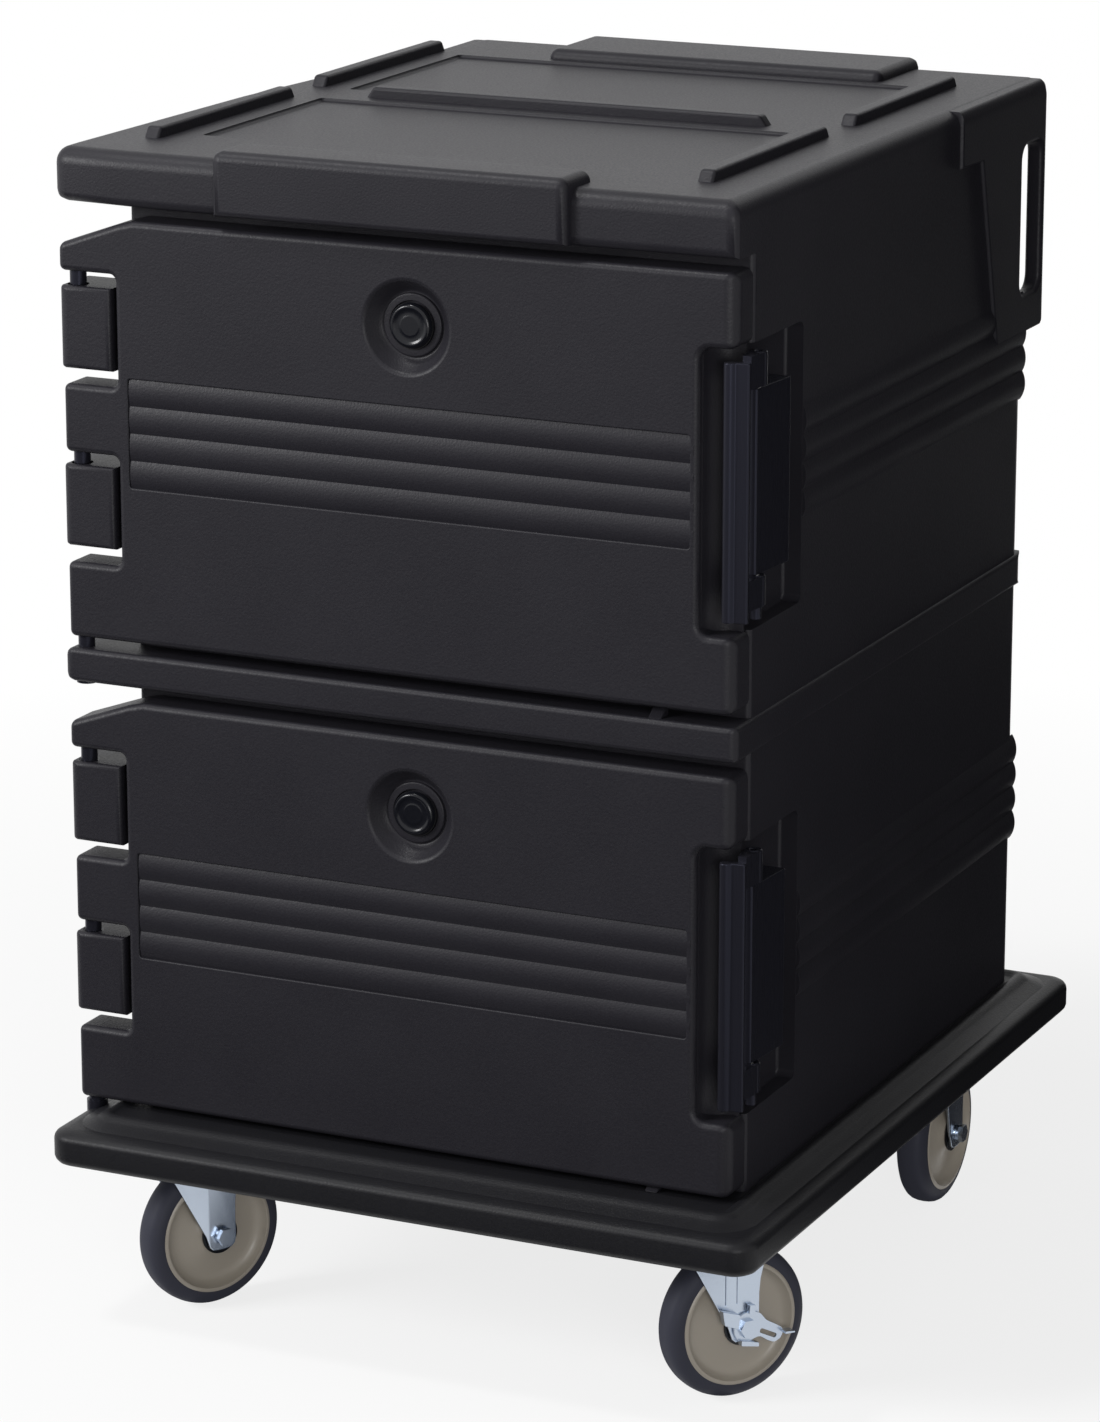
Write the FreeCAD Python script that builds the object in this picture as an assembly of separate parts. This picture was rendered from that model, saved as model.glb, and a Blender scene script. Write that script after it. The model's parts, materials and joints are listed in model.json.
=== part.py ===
import FreeCAD, Part
import math
import os

# Insulated two-compartment food cart, in millimetres.
# X is to the right seen from the front, Y is to the rear, Z is up.

V = FreeCAD.Vector

# Base with its bumper all round
base_width = 782.0
base_depth = 926.0
base_thickness = 44.0
base_corner = 42.0
base_edge_round = 16.0
base_foam_inset = 32.0
front_ledge = 77.0

# Insulated body
body_width = 673.0
body_depth = 755.0
body_corner = 26.0
skin = 5.0
wall = 55.0

# Compartments and their moulded pan rails
rail_count = 5
rail_first = 50.0
rail_depth = 25.0
rail_height = 12.0
rail_setback = 60.0

# Doors: overlapping slab and insulated plug
door_proud = 42.0
door_height = 430.0
lower_door_lift = 6.0
door_corner = 10.0
door_left_inset = 4.5
door_margin = 24.0
seal_gap = 3.0
seal_width = 13.0
seal_offset = 2.0
seal_clearance = 0.3
plug_depth = 30.0
plug_clearance = 5.0

# Raised half-round ribs on doors and sides
rib_count = 4
rib_pitch = 27.8
rib_rise = 3.5
rib_base = 174.5
door_rib_margin = 12.0
door_rib_end = 6.0
side_rib_front = 126.0
side_rib_rear = 8.0

# Lift-off hinges on the left
hinge_reach = 45.5
knuckle_radius = 17.0
knuckle_setback = 2.0
pin_radius = 8.5
pin_seat = 28.0
pin_hold = 22.0
bush_wall = 2.5
running_fit = 0.05
cabinet_knuckle_low = 94.0
cabinet_knuckle_from_top = 154.0
cabinet_knuckle_height = 84.0
door_knuckle_low_height = 78.0
door_knuckle_mid = 191.0
door_knuckle_mid_height = 70.0
door_knuckle_from_top = 55.0
door_knuckle_top_height = 29.0
knuckle_root = 45.0

# Band between the doors
band_height = 35.0
band_gap_above = 12.0
band_gap_below = 15.0
band_proud = 3.5
band_round = 6.0
band_ear_drop = 10.0
rest_nub_margin = 84.5
rest_nub_width = 14.0
rest_nub_height = 10.0
rest_nub_depth = 22.0
rest_nub_sink = 6.0

# Top with its rim, hinge ear, pads, ribs and recessed panels
rim_height = 55.0
rim_gap = 13.0
rim_round = 12.0
rear_rim = 49.0
ear_reach = 64.5
ear_flat = 40.0
ear_run = 92.0
pad_rise = 11.0
front_pad_width = 381.0
front_pad_offset = -25.5
front_pad_proud = 12.0
front_pad_depth = 60.0
rear_pad_width = 390.0
rear_pad_offset = -5.0
rear_pad_depth = 115.0
rear_pad_proud = 3.0
pad_round = 7.0
top_rib_width = 15.0
top_rib_left_margin = 10.5
top_rib_right_margin = 68.5
top_rib_front_margin = 88.0
top_rib_rear_margin = 100.0
top_rib_gap = 62.0
cross_rib_left_margin = 74.5
cross_rib_right_margin = 141.5
panel_left_margin = 36.5
panel_right_margin = 108.5
panel_drop = 3.0
panel_front_margin = 128.0
panel_rear_margin = 128.0
panel_gap = 62.0
top_middle_shift = -3.0

# Push handles at the rear corners
grip_proud = 4.0
grip_thickness = 20.5
grip_height = 267.0
grip_foot = 100.0
grip_shoulder = 153.0
grip_shoulder_drop = 62.0
grip_cap = 213.0
grip_slot_inset = 33.0
grip_bar = 22.0
grip_slot_drop = 64.0
grip_slot_height = 161.0
grip_pocket_width = 54.0

# Vent in each door
vent_place = -10.0
vent_drop = 81.0
vent_dish_radius = 48.0
vent_dish_depth = 17.0
vent_ring_radius = 34.0
vent_ring_rise = 3.0
vent_tube_radius = 14.0
vent_bore_radius = 10.0
vent_cap_radius = 24.5
vent_cap_thickness = 5.5
vent_stem_length = 16.0
vent_seal_thickness = 1.5
vent_rim_width = 5.0
vent_face_drop = 1.5
vent_seal_inset = 1.5

# Nylon latch on the right of each door
latch_lift = 76.0
notch_height = 281.0
notch_width = 38.5
pocket_depth = 20.0
pocket_length = 124.0
leaf_margin = 30.0
leaf_height = 203.0
leaf_length = 52.0
leaf_thickness = 34.5
leaf_setback = 4.0
leaf_round = 4.0
flange_length = 35.0
flange_thickness = 9.5
latch_pin_out = 7.5
latch_pin_front = 6.0
latch_pin_radius = 3.0
latch_barrel_radius = 9.0
handle_margin = 12.0
handle_height = 256.0
handle_ear_gap = 2.0
handle_reach = 21.0
handle_front = 37.0
handle_end = 6.5
handle_thickness = 11.0
handle_round = 3.0
handle_slope = 4.0
latch_screw_radius = 2.5
latch_screw_head = 5.5
latch_screw_head_height = 3.0
latch_screw_length = 30.0
screw_clearance = 0.2
screw_boss = 4.0
screw_count = 4
screw_margin = 22.0

# Casters
caster_height = 176.0
wheel_radius = 80.0
tyre_width = 35.0
tyre_thickness = 15.5
tyre_round = 10.0
web_thickness = 14.0
rim_setback = 2.0
hub_radius = 19.0
hub_width = 38.0
hub_play = 0.3
sleeve_wall = 3.0
axle_radius = 6.0
nut_radius = 10.0
nut_thickness = 5.0
collar_radius = 8.0
leg_gap = 23.5
leg_thickness = 3.5
leg_foot_radius = 17.0
guard_radius = 21.0
guard_thickness = 1.6
plate_length = 104.0
plate_width = 86.0
plate_thickness = 4.0
bolt_length_pitch = 76.0
bolt_width_pitch = 62.0
plate_round = 8.0
bolt_radius = 4.0
bolt_head_radius = 7.0
bolt_head_height = 5.0
bolt_length = 24.0
bolt_clearance = 0.3
insert_wall = 3.0
race_cup_radius = 30.0
race_cup_height = 2.5
race_radius = 24.0
race_height = 3.0
race_clearance = 0.3
race_bore_share = 0.6
crown_thickness = 4.5
crown_front = 40.0
crown_rear = 60.0
crown_round = 10.0
kingpin_radius = 6.0
kingpin_head_radius = 8.0
kingpin_head_height = 2.0
swivel_trail = 24.0
left_swivel_turn = -29.0
right_swivel_turn = -35.0
left_swivel_inset = 104.0
right_swivel_inset = 88.0
swivel_front_inset = 113.0
rigid_side_inset = 90.0
rigid_rear_inset = 189.0
rigid_leg_top = 62.0
brake_reach = 50.0
brake_half = 17.0
brake_thickness = 3.0
brake_gap = 0.5
brake_tab = 12.0
brake_arm_low = 10.0
brake_arm_high = 6.0

# How far a cutting shape runs past the face that it cuts
overcut = 1.0

# Levels and planes that follow from the sizes above
half_body = body_width / 2
half_base = base_width / 2
base_top = caster_height + base_thickness
door_pitch = door_height + band_gap_below + band_height + band_gap_above
lower_level = base_top + lower_door_lift
rim_bottom = lower_level + door_pitch + door_height + rim_gap
body_top = rim_bottom + rim_height
compartment_height = door_height - 2 * door_margin
compartment_depth = body_depth - wall
rail_pitch = (compartment_height - 2 * rail_first) / (rail_count - 1)
base_front = -base_depth / 2
door_front = base_front + front_ledge
body_front = door_front + door_proud
body_rear = body_front + body_depth
door_back = body_front - seal_gap
door_levels = {"lower": lower_level, "upper": lower_level + door_pitch}
inner_half = half_body - wall
band_top = door_levels["upper"] - band_gap_above
band_bottom = band_top - band_height
rim_rear = body_rear + rear_rim
pin_x = -half_body - hinge_reach
pin_y = door_front + knuckle_radius
latch_x = half_body + latch_pin_out
latch_y = body_front - latch_pin_front
rail_rear = body_front + compartment_depth
notch_left = half_body - notch_width
leaf_lift = latch_lift + leaf_margin
handle_lift = latch_lift + handle_margin
vent_lift = door_height - vent_drop
door_knuckle_top = door_height - door_knuckle_from_top
cabinet_knuckle_top = door_height - cabinet_knuckle_from_top
ear_left = -half_body - ear_reach
top_middle = (door_front + rim_rear) / 2 + top_middle_shift
top_rib_front = door_front + top_rib_front_margin
top_rib_rear = rim_rear - top_rib_rear_margin

# The origin lies on the floor under the middle of the overall box
overall_rear = max(base_depth / 2, rim_rear + rear_pad_proud)
overall_left = min(ear_left, -half_base)
shift = V(-(overall_left + half_base) / 2, (base_depth / 2 - overall_rear) / 2, 0)


def block(x0, x1, y0, y1, z0, z1):
    """Plain box between two corners."""
    return Part.makeBox(x1 - x0, y1 - y0, z1 - z0, V(x0, y0, z0))


def upright(radius, x, y, z0, z1):
    """Round bar standing along Z."""
    return Part.makeCylinder(radius, z1 - z0, V(x, y, z0))


def bar_along(radius, start, direction, length):
    """Round bar from a point along a direction."""
    return Part.makeCylinder(radius, length, start, direction)


def plan_prism(points, z0, z1):
    """Solid standing on a plan outline of (x, y) points."""
    corners = [V(x, y, z0) for x, y in points]
    return Part.Face(Part.makePolygon(corners + corners[:1])).extrude(V(0, 0, z1 - z0))


def side_prism(points, x0, x1):
    """Solid running along X with an outline of (y, z) points."""
    corners = [V(x0, y, z) for y, z in points]
    return Part.Face(Part.makePolygon(corners + corners[:1])).extrude(V(x1 - x0, 0, 0))


def front_prism(points, y0, y1):
    """Solid running along Y with an outline of (x, z) points."""
    corners = [V(x, y0, z) for x, z in points]
    return Part.Face(Part.makePolygon(corners + corners[:1])).extrude(V(0, y1 - y0, 0))


def round_upright(shape, radius, wanted=None):
    """Round the upright edges, or those at places that wanted accepts."""
    chosen = []
    for edge in shape.Edges:
        start, end = edge.Vertexes[0].Point, edge.Vertexes[-1].Point
        standing = math.hypot(start.x - end.x, start.y - end.y) < 1e-6
        if standing and (wanted is None or wanted(start)):
            chosen.append(edge)
    return shape.makeFillet(radius, chosen)


def round_level(shape, radius, level):
    """Round every edge that lies in one level plane."""
    chosen = []
    for edge in shape.Edges:
        box = edge.BoundBox
        if abs(box.ZMin - level) < 1e-6 and abs(box.ZMax - level) < 1e-6:
            chosen.append(edge)
    return shape.makeFillet(radius, chosen)


def mirrored(shape):
    """Left-hand twin of a right-hand shape."""
    return shape.mirror(V(0, 0, 0), V(1, 0, 0))


def joined(shapes):
    """One solid from several that overlap."""
    return shapes[0].multiFuse(shapes[1:]).removeSplitter()


def save(name, shape):
    """Write one sub-part at its place in the cart's frame."""
    placed = shape.copy()
    placed.translate(shift)
    placed.exportStep(os.path.join("parts", name + ".step"))


def rib_radius():
    """Radius of the arc that gives a rib its width and rise."""
    half = rib_pitch / 2
    return (half * half + rib_rise * rib_rise) / (2 * rib_rise)


def rib_heights(door_level):
    """Centre heights of the ribs beside one door."""
    return [door_level + rib_base + rib_pitch * i for i in range(rib_count)]


# Sub-shapes of the cabinet

def compartment(level, grow=0.0):
    """Hollow behind one door, grown evenly for the space that the liner takes."""
    floor = level + door_margin
    return block(-inner_half - grow, inner_half + grow, body_front - overcut, rail_rear + grow,
                 floor - grow, floor + compartment_height + grow)


def rails(level):
    """Pan rails on both walls of one compartment."""
    result = []
    tip = inner_half - rail_depth
    for index in range(rail_count):
        middle = level + door_margin + rail_first + rail_pitch * index + rail_height / 2
        top = middle + rail_height / 2
        root = middle - rail_height
        outline = [(tip, middle), (tip, top), (inner_half, top), (inner_half, root)]
        rail = front_prism(outline, body_front + rail_setback, rail_rear)
        result += [rail, mirrored(rail)]
    return result


def side_ribs(level):
    """Ribs along both side walls beside one door."""
    result = []
    radius = rib_radius()
    start = body_front + side_rib_front
    for height in rib_heights(level):
        axis = V(half_body + rib_rise - radius, start, height)
        rib = bar_along(radius, axis, V(0, 1, 0), body_rear - side_rib_rear - start)
        result += [rib, mirrored(rib)]
    return result


def latch_pocket(level, grow=0.0):
    """Recess in the right wall that holds the latch leaf."""
    bottom = level + latch_lift - grow
    return block(half_body - pocket_depth - grow, half_body + pocket_depth, body_front - overcut,
                 body_front + pocket_length + grow, bottom, bottom + notch_height + 2 * grow)


def knuckle(setback, arm_end, arm_rear, z0, z1):
    """Hinge knuckle: a round barrel with an arm to its panel."""
    barrel = upright(knuckle_radius - setback, pin_x, pin_y, z0, z1)
    arm = block(pin_x, arm_end, door_front + setback, arm_rear, z0, z1)
    return barrel.fuse(arm)


def cabinet_knuckle(z0, z1):
    """Knuckle on the cabinet's front left corner, clear of the door's swing."""
    front = knuckle(knuckle_setback, -half_body - knuckle_setback, body_front, z0, z1)
    root = block(pin_x, -half_body + skin, body_front, pin_y + knuckle_root, z0, z1)
    return front.fuse(root)


def hinge_seats():
    """Height range of every hinge seat on the cabinet, by door."""
    seats = {}
    for side, level in door_levels.items():
        low_top = base_top if side == "lower" else band_top - band_ear_drop
        low = (low_top - pin_seat, low_top)
        mid = (level + cabinet_knuckle_low, level + cabinet_knuckle_low + cabinet_knuckle_height)
        top = (level + cabinet_knuckle_top, level + cabinet_knuckle_top + cabinet_knuckle_height)
        seats[side] = [low, mid, top]
    return seats


def base_slab():
    """Base tray with its rounded bumper edge."""
    slab = block(-half_base, half_base, base_front, -base_front, caster_height, base_top)
    slab = round_upright(slab, base_corner)
    slab = round_level(slab, base_edge_round, base_top)
    return round_level(slab, base_edge_round, caster_height)


def top_slab():
    """Rim and top plate, with the ear over the hinges."""
    ear_front = door_front + ear_flat
    outline = [(ear_left, door_front), (half_body, door_front), (half_body, rim_rear), (-half_body, rim_rear),
               (-half_body, door_front + ear_run), (ear_left, ear_front)]
    slab = round_upright(plan_prism(outline, rim_bottom, body_top), rim_round)
    return round_level(slab, rim_round, body_top)


def top_pads():
    """Raised pads that wrap over the front and rear edges of the top."""
    level = body_top + pad_rise
    front_half = front_pad_width / 2
    rear_half = rear_pad_width / 2
    front = block(front_pad_offset - front_half, front_pad_offset + front_half, door_front - front_pad_proud,
                  door_front + front_pad_depth, rim_bottom, level)
    rear = block(rear_pad_offset - rear_half, rear_pad_offset + rear_half, rim_rear - rear_pad_depth,
                 rim_rear + rear_pad_proud, rim_bottom, level)
    return [round_level(round_upright(pad, pad_round), pad_round, level) for pad in (front, rear)]


def top_ribs():
    """Bars on the top that keep stacked loads in place."""
    result = []
    half = top_rib_width / 2
    low = body_top - skin
    high = body_top + pad_rise
    spans = [(top_rib_front, top_middle - top_rib_gap / 2), (top_middle + top_rib_gap / 2, top_rib_rear)]
    for place in (-half_body + top_rib_left_margin, half_body - top_rib_right_margin):
        for start, end in spans:
            result.append(block(place - half, place + half, start, end, low, high))
    left = -half_body + cross_rib_left_margin
    right = half_body - cross_rib_right_margin
    result.append(block(left, right, top_middle - half, top_middle + half, low, high))
    return result


def panel_spans():
    """Front and rear ends of the two recessed panels."""
    return [(door_front + panel_front_margin, top_middle - panel_gap / 2),
            (top_middle + panel_gap / 2, rim_rear - panel_rear_margin)]


def top_panels():
    """Shallow recessed panels in the top."""
    left = -half_body + panel_left_margin
    right = half_body - panel_right_margin
    floor = body_top - panel_drop
    return [block(left, right, start, end, floor, body_top + overcut) for start, end in panel_spans()]


def middle_band(body):
    """Band between the doors, with the hinge seat of the upper door on its ear."""
    reach = half_body + band_proud
    band = block(-reach, reach, door_front, body_rear + band_proud, band_bottom, band_top)
    band = round_level(round_upright(band, band_round), band_round, band_top)
    band = round_level(band, band_round, band_bottom)
    ear_top = band_top - band_ear_drop
    ear = cabinet_knuckle(band_bottom, ear_top)
    link = block(pin_x, -half_body + skin, door_front + knuckle_setback, body_front, band_bottom, ear_top)
    solid = joined([band, ear, link, rest_nub(band_top)])
    return solid.cut([body, seat_bore(ear_top)])


def rest_nub(level):
    """Small ramp under a door's free edge."""
    half = rest_nub_width / 2
    front = door_front + knuckle_setback
    rear = front + rest_nub_depth
    outline = [(front, level), (rear, level), (rear, level + rest_nub_height)]
    middle = half_body - rest_nub_margin
    return side_prism(outline, middle - half, middle + half)


def push_grip():
    """Right-hand handle wing, before its slot is cut."""
    bottom = body_top - grip_height
    cap_level = body_top - rim_round
    outline = [(body_rear - grip_foot, bottom), (rim_rear, bottom), (rim_rear, cap_level),
               (body_rear - grip_cap, cap_level), (body_rear - grip_cap, rim_bottom - skin),
               (body_rear - grip_shoulder, body_top - grip_shoulder_drop)]
    return side_prism(outline, half_body - grip_thickness, half_body + grip_proud)


def grip_hollow(grow=0.0):
    """Slot through the right-hand wing, and the hand space behind it."""
    z1 = body_top - grip_slot_drop + grow
    z0 = body_top - grip_slot_drop - grip_slot_height - grow
    outer = half_body + grip_proud + overcut
    inner = half_body - grip_thickness
    deep = inner - grip_pocket_width - grow
    front = body_rear - grip_slot_inset - grow
    slot = block(deep, outer, front, rim_rear - grip_bar, z0, z1)
    pocket = block(deep, inner + grow, front, rim_rear + overcut, z0, z1)
    return slot.fuse(pocket)


def latch_screw_places(level):
    """Centres of the screw heads on the flange of a latch leaf."""
    x = half_body - pocket_depth + flange_thickness
    y = body_front + leaf_setback + leaf_length + flange_length / 2
    first = level + leaf_lift + screw_margin
    pitch = (leaf_height - 2 * screw_margin) / (screw_count - 1)
    return [V(x, y, first + pitch * index) for index in range(screw_count)]


def caster_places():
    """Name, plate centre and turn of each caster, with no turn for a rigid one."""
    front_y = base_front + swivel_front_inset
    rear_x = half_base - rigid_side_inset
    rear_y = -base_front - rigid_rear_inset
    return [("front_left", V(-half_base + left_swivel_inset, front_y, 0), left_swivel_turn),
            ("front_right", V(half_base - right_swivel_inset, front_y, 0), right_swivel_turn),
            ("rear_left", V(-rear_x, rear_y, 0), None),
            ("rear_right", V(rear_x, rear_y, 0), None)]


def bolt_places():
    """Plan positions of all the caster bolts."""
    result = []
    for name, centre, turn in caster_places():
        for sx in (-1, 1):
            for sy in (-1, 1):
                result.append((centre.x + sx * bolt_width_pitch / 2, centre.y + sy * bolt_length_pitch / 2))
    return result


def foam_core():
    """Foam that fills the space between the outer skin and the liners."""
    top = body_top - panel_drop - skin
    reach = half_body - skin
    core = block(-reach, reach, body_front + skin, body_rear - skin, base_top + skin, top)
    core = round_upright(core, body_corner - skin, lambda point: point.y > body_front + 2 * skin)
    taken = []
    for level in door_levels.values():
        taken += [compartment(level, skin), latch_pocket(level, skin)]
        for place in latch_screw_places(level):
            boss = latch_screw_length + screw_boss
            taken.append(bar_along(latch_screw_radius + screw_boss, place, V(-1, 0, 0), boss))
    hollow = grip_hollow(skin)
    taken += [hollow, mirrored(hollow)]
    return core.cut(taken)


def base_foam():
    """Foam inside the base, clear of the caster inserts and the lowest hinge seat."""
    inset = base_foam_inset
    tray = block(-half_base + inset, half_base - inset, base_front + inset, -base_front - inset,
                 caster_height + skin, base_top - skin)
    taken = [upright(pin_radius + bush_wall + skin, pin_x, pin_y, caster_height, base_top)]
    insert_top = caster_height + bolt_length + skin
    for x, y in bolt_places():
        taken.append(upright(bolt_radius + insert_wall + skin, x, y, caster_height, insert_top))
    return tray.cut(taken)


def seat_bore(top):
    """Hole for one hinge bush, down from the top of its seat."""
    return upright(pin_radius + bush_wall, pin_x, pin_y, top - pin_seat, top)


def body_block():
    """Outer form of the body between the base and the rim."""
    body = block(-half_body, half_body, body_front, body_rear, base_top, rim_bottom)
    return round_upright(body, body_corner, lambda point: point.y > body_front + body_corner)


def base_tray(foam):
    """Moulded base with the hinge seat and the bores for the caster inserts."""
    tray = joined([base_slab(), rest_nub(base_top - rest_nub_sink)])
    bores = [foam, seat_bore(base_top)]
    for x, y in bolt_places():
        bores.append(upright(bolt_radius + insert_wall, x, y, caster_height, caster_height + bolt_length))
    return tray.cut(bores)


def cabinet_top(grips, foam):
    """Moulded top with its rim, pads, ribs and recessed panels."""
    form = joined([top_slab()] + top_pads() + top_ribs())
    return form.cut(top_panels() + grips + [foam])


def push_grips(foam):
    """Both handle wings with their slots."""
    hollow = grip_hollow()
    grip = push_grip().cut([hollow, foam])
    return Part.makeCompound([grip, mirrored(grip)])


def cabinet_knuckles(body):
    """Hinge knuckles on the cabinet beside each door."""
    result = []
    for ranges in hinge_seats().values():
        for z0, z1 in ranges[1:]:
            result.append(cabinet_knuckle(z0, z1).cut([body, seat_bore(z1)]))
    return Part.makeCompound(result)


def cabinet_shell(grips, foam):
    """Moulded double-walled body: outer skin with its ribs, and both liners."""
    ribs = side_ribs(door_levels["lower"]) + side_ribs(door_levels["upper"])
    shell = joined([body_block()] + ribs)
    cuts = list(grips)
    for level in door_levels.values():
        cuts += [compartment(level), latch_pocket(level)]
    hollow = grip_hollow()
    cuts += [hollow, mirrored(hollow), foam]
    for level in door_levels.values():
        for place in latch_screw_places(level):
            cuts.append(bar_along(latch_screw_radius, place, V(-1, 0, 0), latch_screw_length))
    return shell.cut(cuts)


def hinge_bushings():
    """Bushes pressed into the cabinet's hinge seats."""
    result = []
    floor = bush_wall
    for ranges in hinge_seats().values():
        for z0, z1 in ranges:
            tube = upright(pin_radius + bush_wall, pin_x, pin_y, z1 - pin_seat, z1)
            bore = upright(pin_radius + running_fit, pin_x, pin_y, z1 - pin_seat + floor, z1)
            result.append(tube.cut(bore))
    return Part.makeCompound(result)


# Sub-shapes of one door

def door_knuckles(level):
    """Three knuckles on the door's left edge, the top one sloping up to the door."""
    end = -half_body + door_left_inset + door_corner
    low = knuckle(0, end, pin_y + knuckle_radius, level, level + door_knuckle_low_height)
    mid = knuckle(0, end, pin_y + knuckle_radius, level + door_knuckle_mid,
                  level + door_knuckle_mid + door_knuckle_mid_height)
    top_start = level + door_knuckle_top
    tip = top_start + door_knuckle_top_height
    top = knuckle(0, end, pin_y + knuckle_radius, top_start, level + door_height)
    left = pin_x - knuckle_radius - overcut
    door_top = level + door_height
    outline = [(left, tip), (left, door_top + overcut), (end, door_top + overcut), (end, door_top)]
    slope = front_prism(outline, door_front - overcut, body_front)
    return [low, mid, top.cut(slope)]


def door_plug(level, inset=0.0):
    """Insulated plug on the door's back."""
    margin = plug_clearance + inset
    floor = level + door_margin
    half = inner_half - margin
    return block(-half, half, door_back - overcut, body_front + plug_depth - inset,
                 floor + margin, floor + compartment_height - margin)


def door_slab(level):
    """Overlapping outer slab of the door."""
    slab = block(-half_body + door_left_inset, half_body, door_front, door_back, level, level + door_height)
    return round_upright(slab, door_corner, lambda point: point.x > 0 and point.y < door_front + overcut)


def vent_axis(level, y):
    """Point on the vent's axis at one depth."""
    return V(vent_place, y, level + vent_lift)


def vent_bar(radius, level, y0, y1):
    """Round bar along the vent's axis."""
    return bar_along(radius, vent_axis(level, y0), V(0, 1, 0), y1 - y0)


def latch_notch(level, grow=0.0):
    """Notch in the door's right edge for the latch and the fingers."""
    return block(notch_left - grow, half_body + overcut, door_front - overcut, door_back + overcut,
                 level + latch_lift - grow, level + latch_lift + notch_height + grow)


def door_ribs(level):
    """Raised half-round ribs across the door's face."""
    radius = rib_radius()
    left = -half_body + door_left_inset + door_rib_margin
    right = notch_left - door_rib_end
    result = []
    for height in rib_heights(level):
        axis = V(left, door_front - rib_rise + radius, height)
        rib = bar_along(radius, axis, V(1, 0, 0), right - left)
        front = door_front - rib_rise - overcut
        trim = block(left, right, front, door_front + skin, height - rib_pitch, height + rib_pitch)
        result.append(rib.common(trim))
    return result


def door_foam(level):
    """Foam core of one door."""
    slab = block(-half_body + door_left_inset + skin, half_body - skin, door_front + skin, door_back - skin,
                 level + skin, level + door_height - skin)
    plug = door_plug(level, skin)
    front = door_front + skin
    rear = body_front + plug_depth
    plug = plug.common(block(-half_body, half_body, front, rear, level, level + door_height))
    dish = vent_bar(vent_dish_radius + skin, level, door_front, door_front + vent_dish_depth + skin)
    tunnel = vent_bar(vent_tube_radius + skin, level, door_front, body_front + plug_depth)
    neck = door_plug(level, skin)
    neck.translate(V(0, -2 * skin, 0))
    core = slab.fuse([plug, neck]).removeSplitter()
    return core.cut([dish, tunnel, latch_notch(level, skin)])


def door_shell(level, foam):
    """Moulded double-walled door with its hinge knuckles."""
    solid = joined([door_slab(level), door_plug(level)] + door_knuckles(level) + door_ribs(level))
    dish = vent_bar(vent_dish_radius, level, door_front - overcut, door_front + vent_dish_depth)
    ring = vent_bar(vent_ring_radius, level, door_front + vent_dish_depth - vent_ring_rise,
                    door_front + vent_dish_depth + overcut)
    bore = vent_bar(vent_tube_radius, level, door_front - overcut, body_front + plug_depth + overcut)
    solid = solid.cut([dish, latch_notch(level)]).fuse(ring).removeSplitter()
    cuts = [foam, bore]
    for z0, z1 in pin_ranges(level):
        cuts.append(upright(pin_radius, pin_x, pin_y, z1 - pin_hold, z1))
    return solid.cut(cuts)


def pin_ranges(level):
    """Height range of each hinge pin, from its seat up into its knuckle."""
    side = [name for name, value in door_levels.items() if value == level][0]
    starts = [level, level + door_knuckle_mid, level + door_knuckle_top]
    result = []
    for (z0, z1), start in zip(hinge_seats()[side], starts):
        result.append((z1 - pin_seat + 2 * bush_wall, start + pin_hold))
    return result


def hinge_pins(level):
    """Pins held in the door's knuckles."""
    return Part.makeCompound([upright(pin_radius, pin_x, pin_y, z0, z1) for z0, z1 in pin_ranges(level)])


def door_gasket(level):
    """Seal round the plug, between the door and the cabinet's face."""
    reach = inner_half + seal_offset
    floor = level + door_margin - seal_offset
    ceiling = level + door_margin + compartment_height + seal_offset
    y1 = body_front - seal_clearance
    side = reach + seal_width
    outer = block(-side, side, door_back, y1, floor - seal_width, ceiling + seal_width)
    return outer.cut(block(-reach, reach, door_back - overcut, y1 + overcut, floor, ceiling))


def vent_tube(level):
    """Sleeve that lines the vent's way through the door."""
    start = door_front + vent_dish_depth - vent_ring_rise
    tube = vent_bar(vent_tube_radius, level, start, body_front + plug_depth)
    return tube.cut(vent_bar(vent_bore_radius, level, start - overcut, body_front + plug_depth + overcut))


def vent_seal(level):
    """Flat ring under the vent cap."""
    end = door_front + vent_dish_depth - vent_ring_rise
    start = end - vent_seal_thickness
    ring = vent_bar(vent_cap_radius - vent_seal_inset, level, start, end)
    return ring.cut(vent_bar(vent_bore_radius, level, start - overcut, end + overcut))


def vent_cap(level):
    """Cap with a raised rim that turns in the vent's sleeve."""
    end = door_front + vent_dish_depth - vent_ring_rise - vent_seal_thickness - running_fit
    face = end - vent_cap_thickness
    cap = vent_bar(vent_cap_radius, level, face, end)
    stem = vent_bar(vent_bore_radius - running_fit, level, end - overcut, end + vent_stem_length)
    hollow = vent_bar(vent_cap_radius - vent_rim_width, level, face - overcut, face + vent_face_drop)
    return joined([cap, stem]).cut(hollow)


# Sub-shapes of one latch

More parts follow.
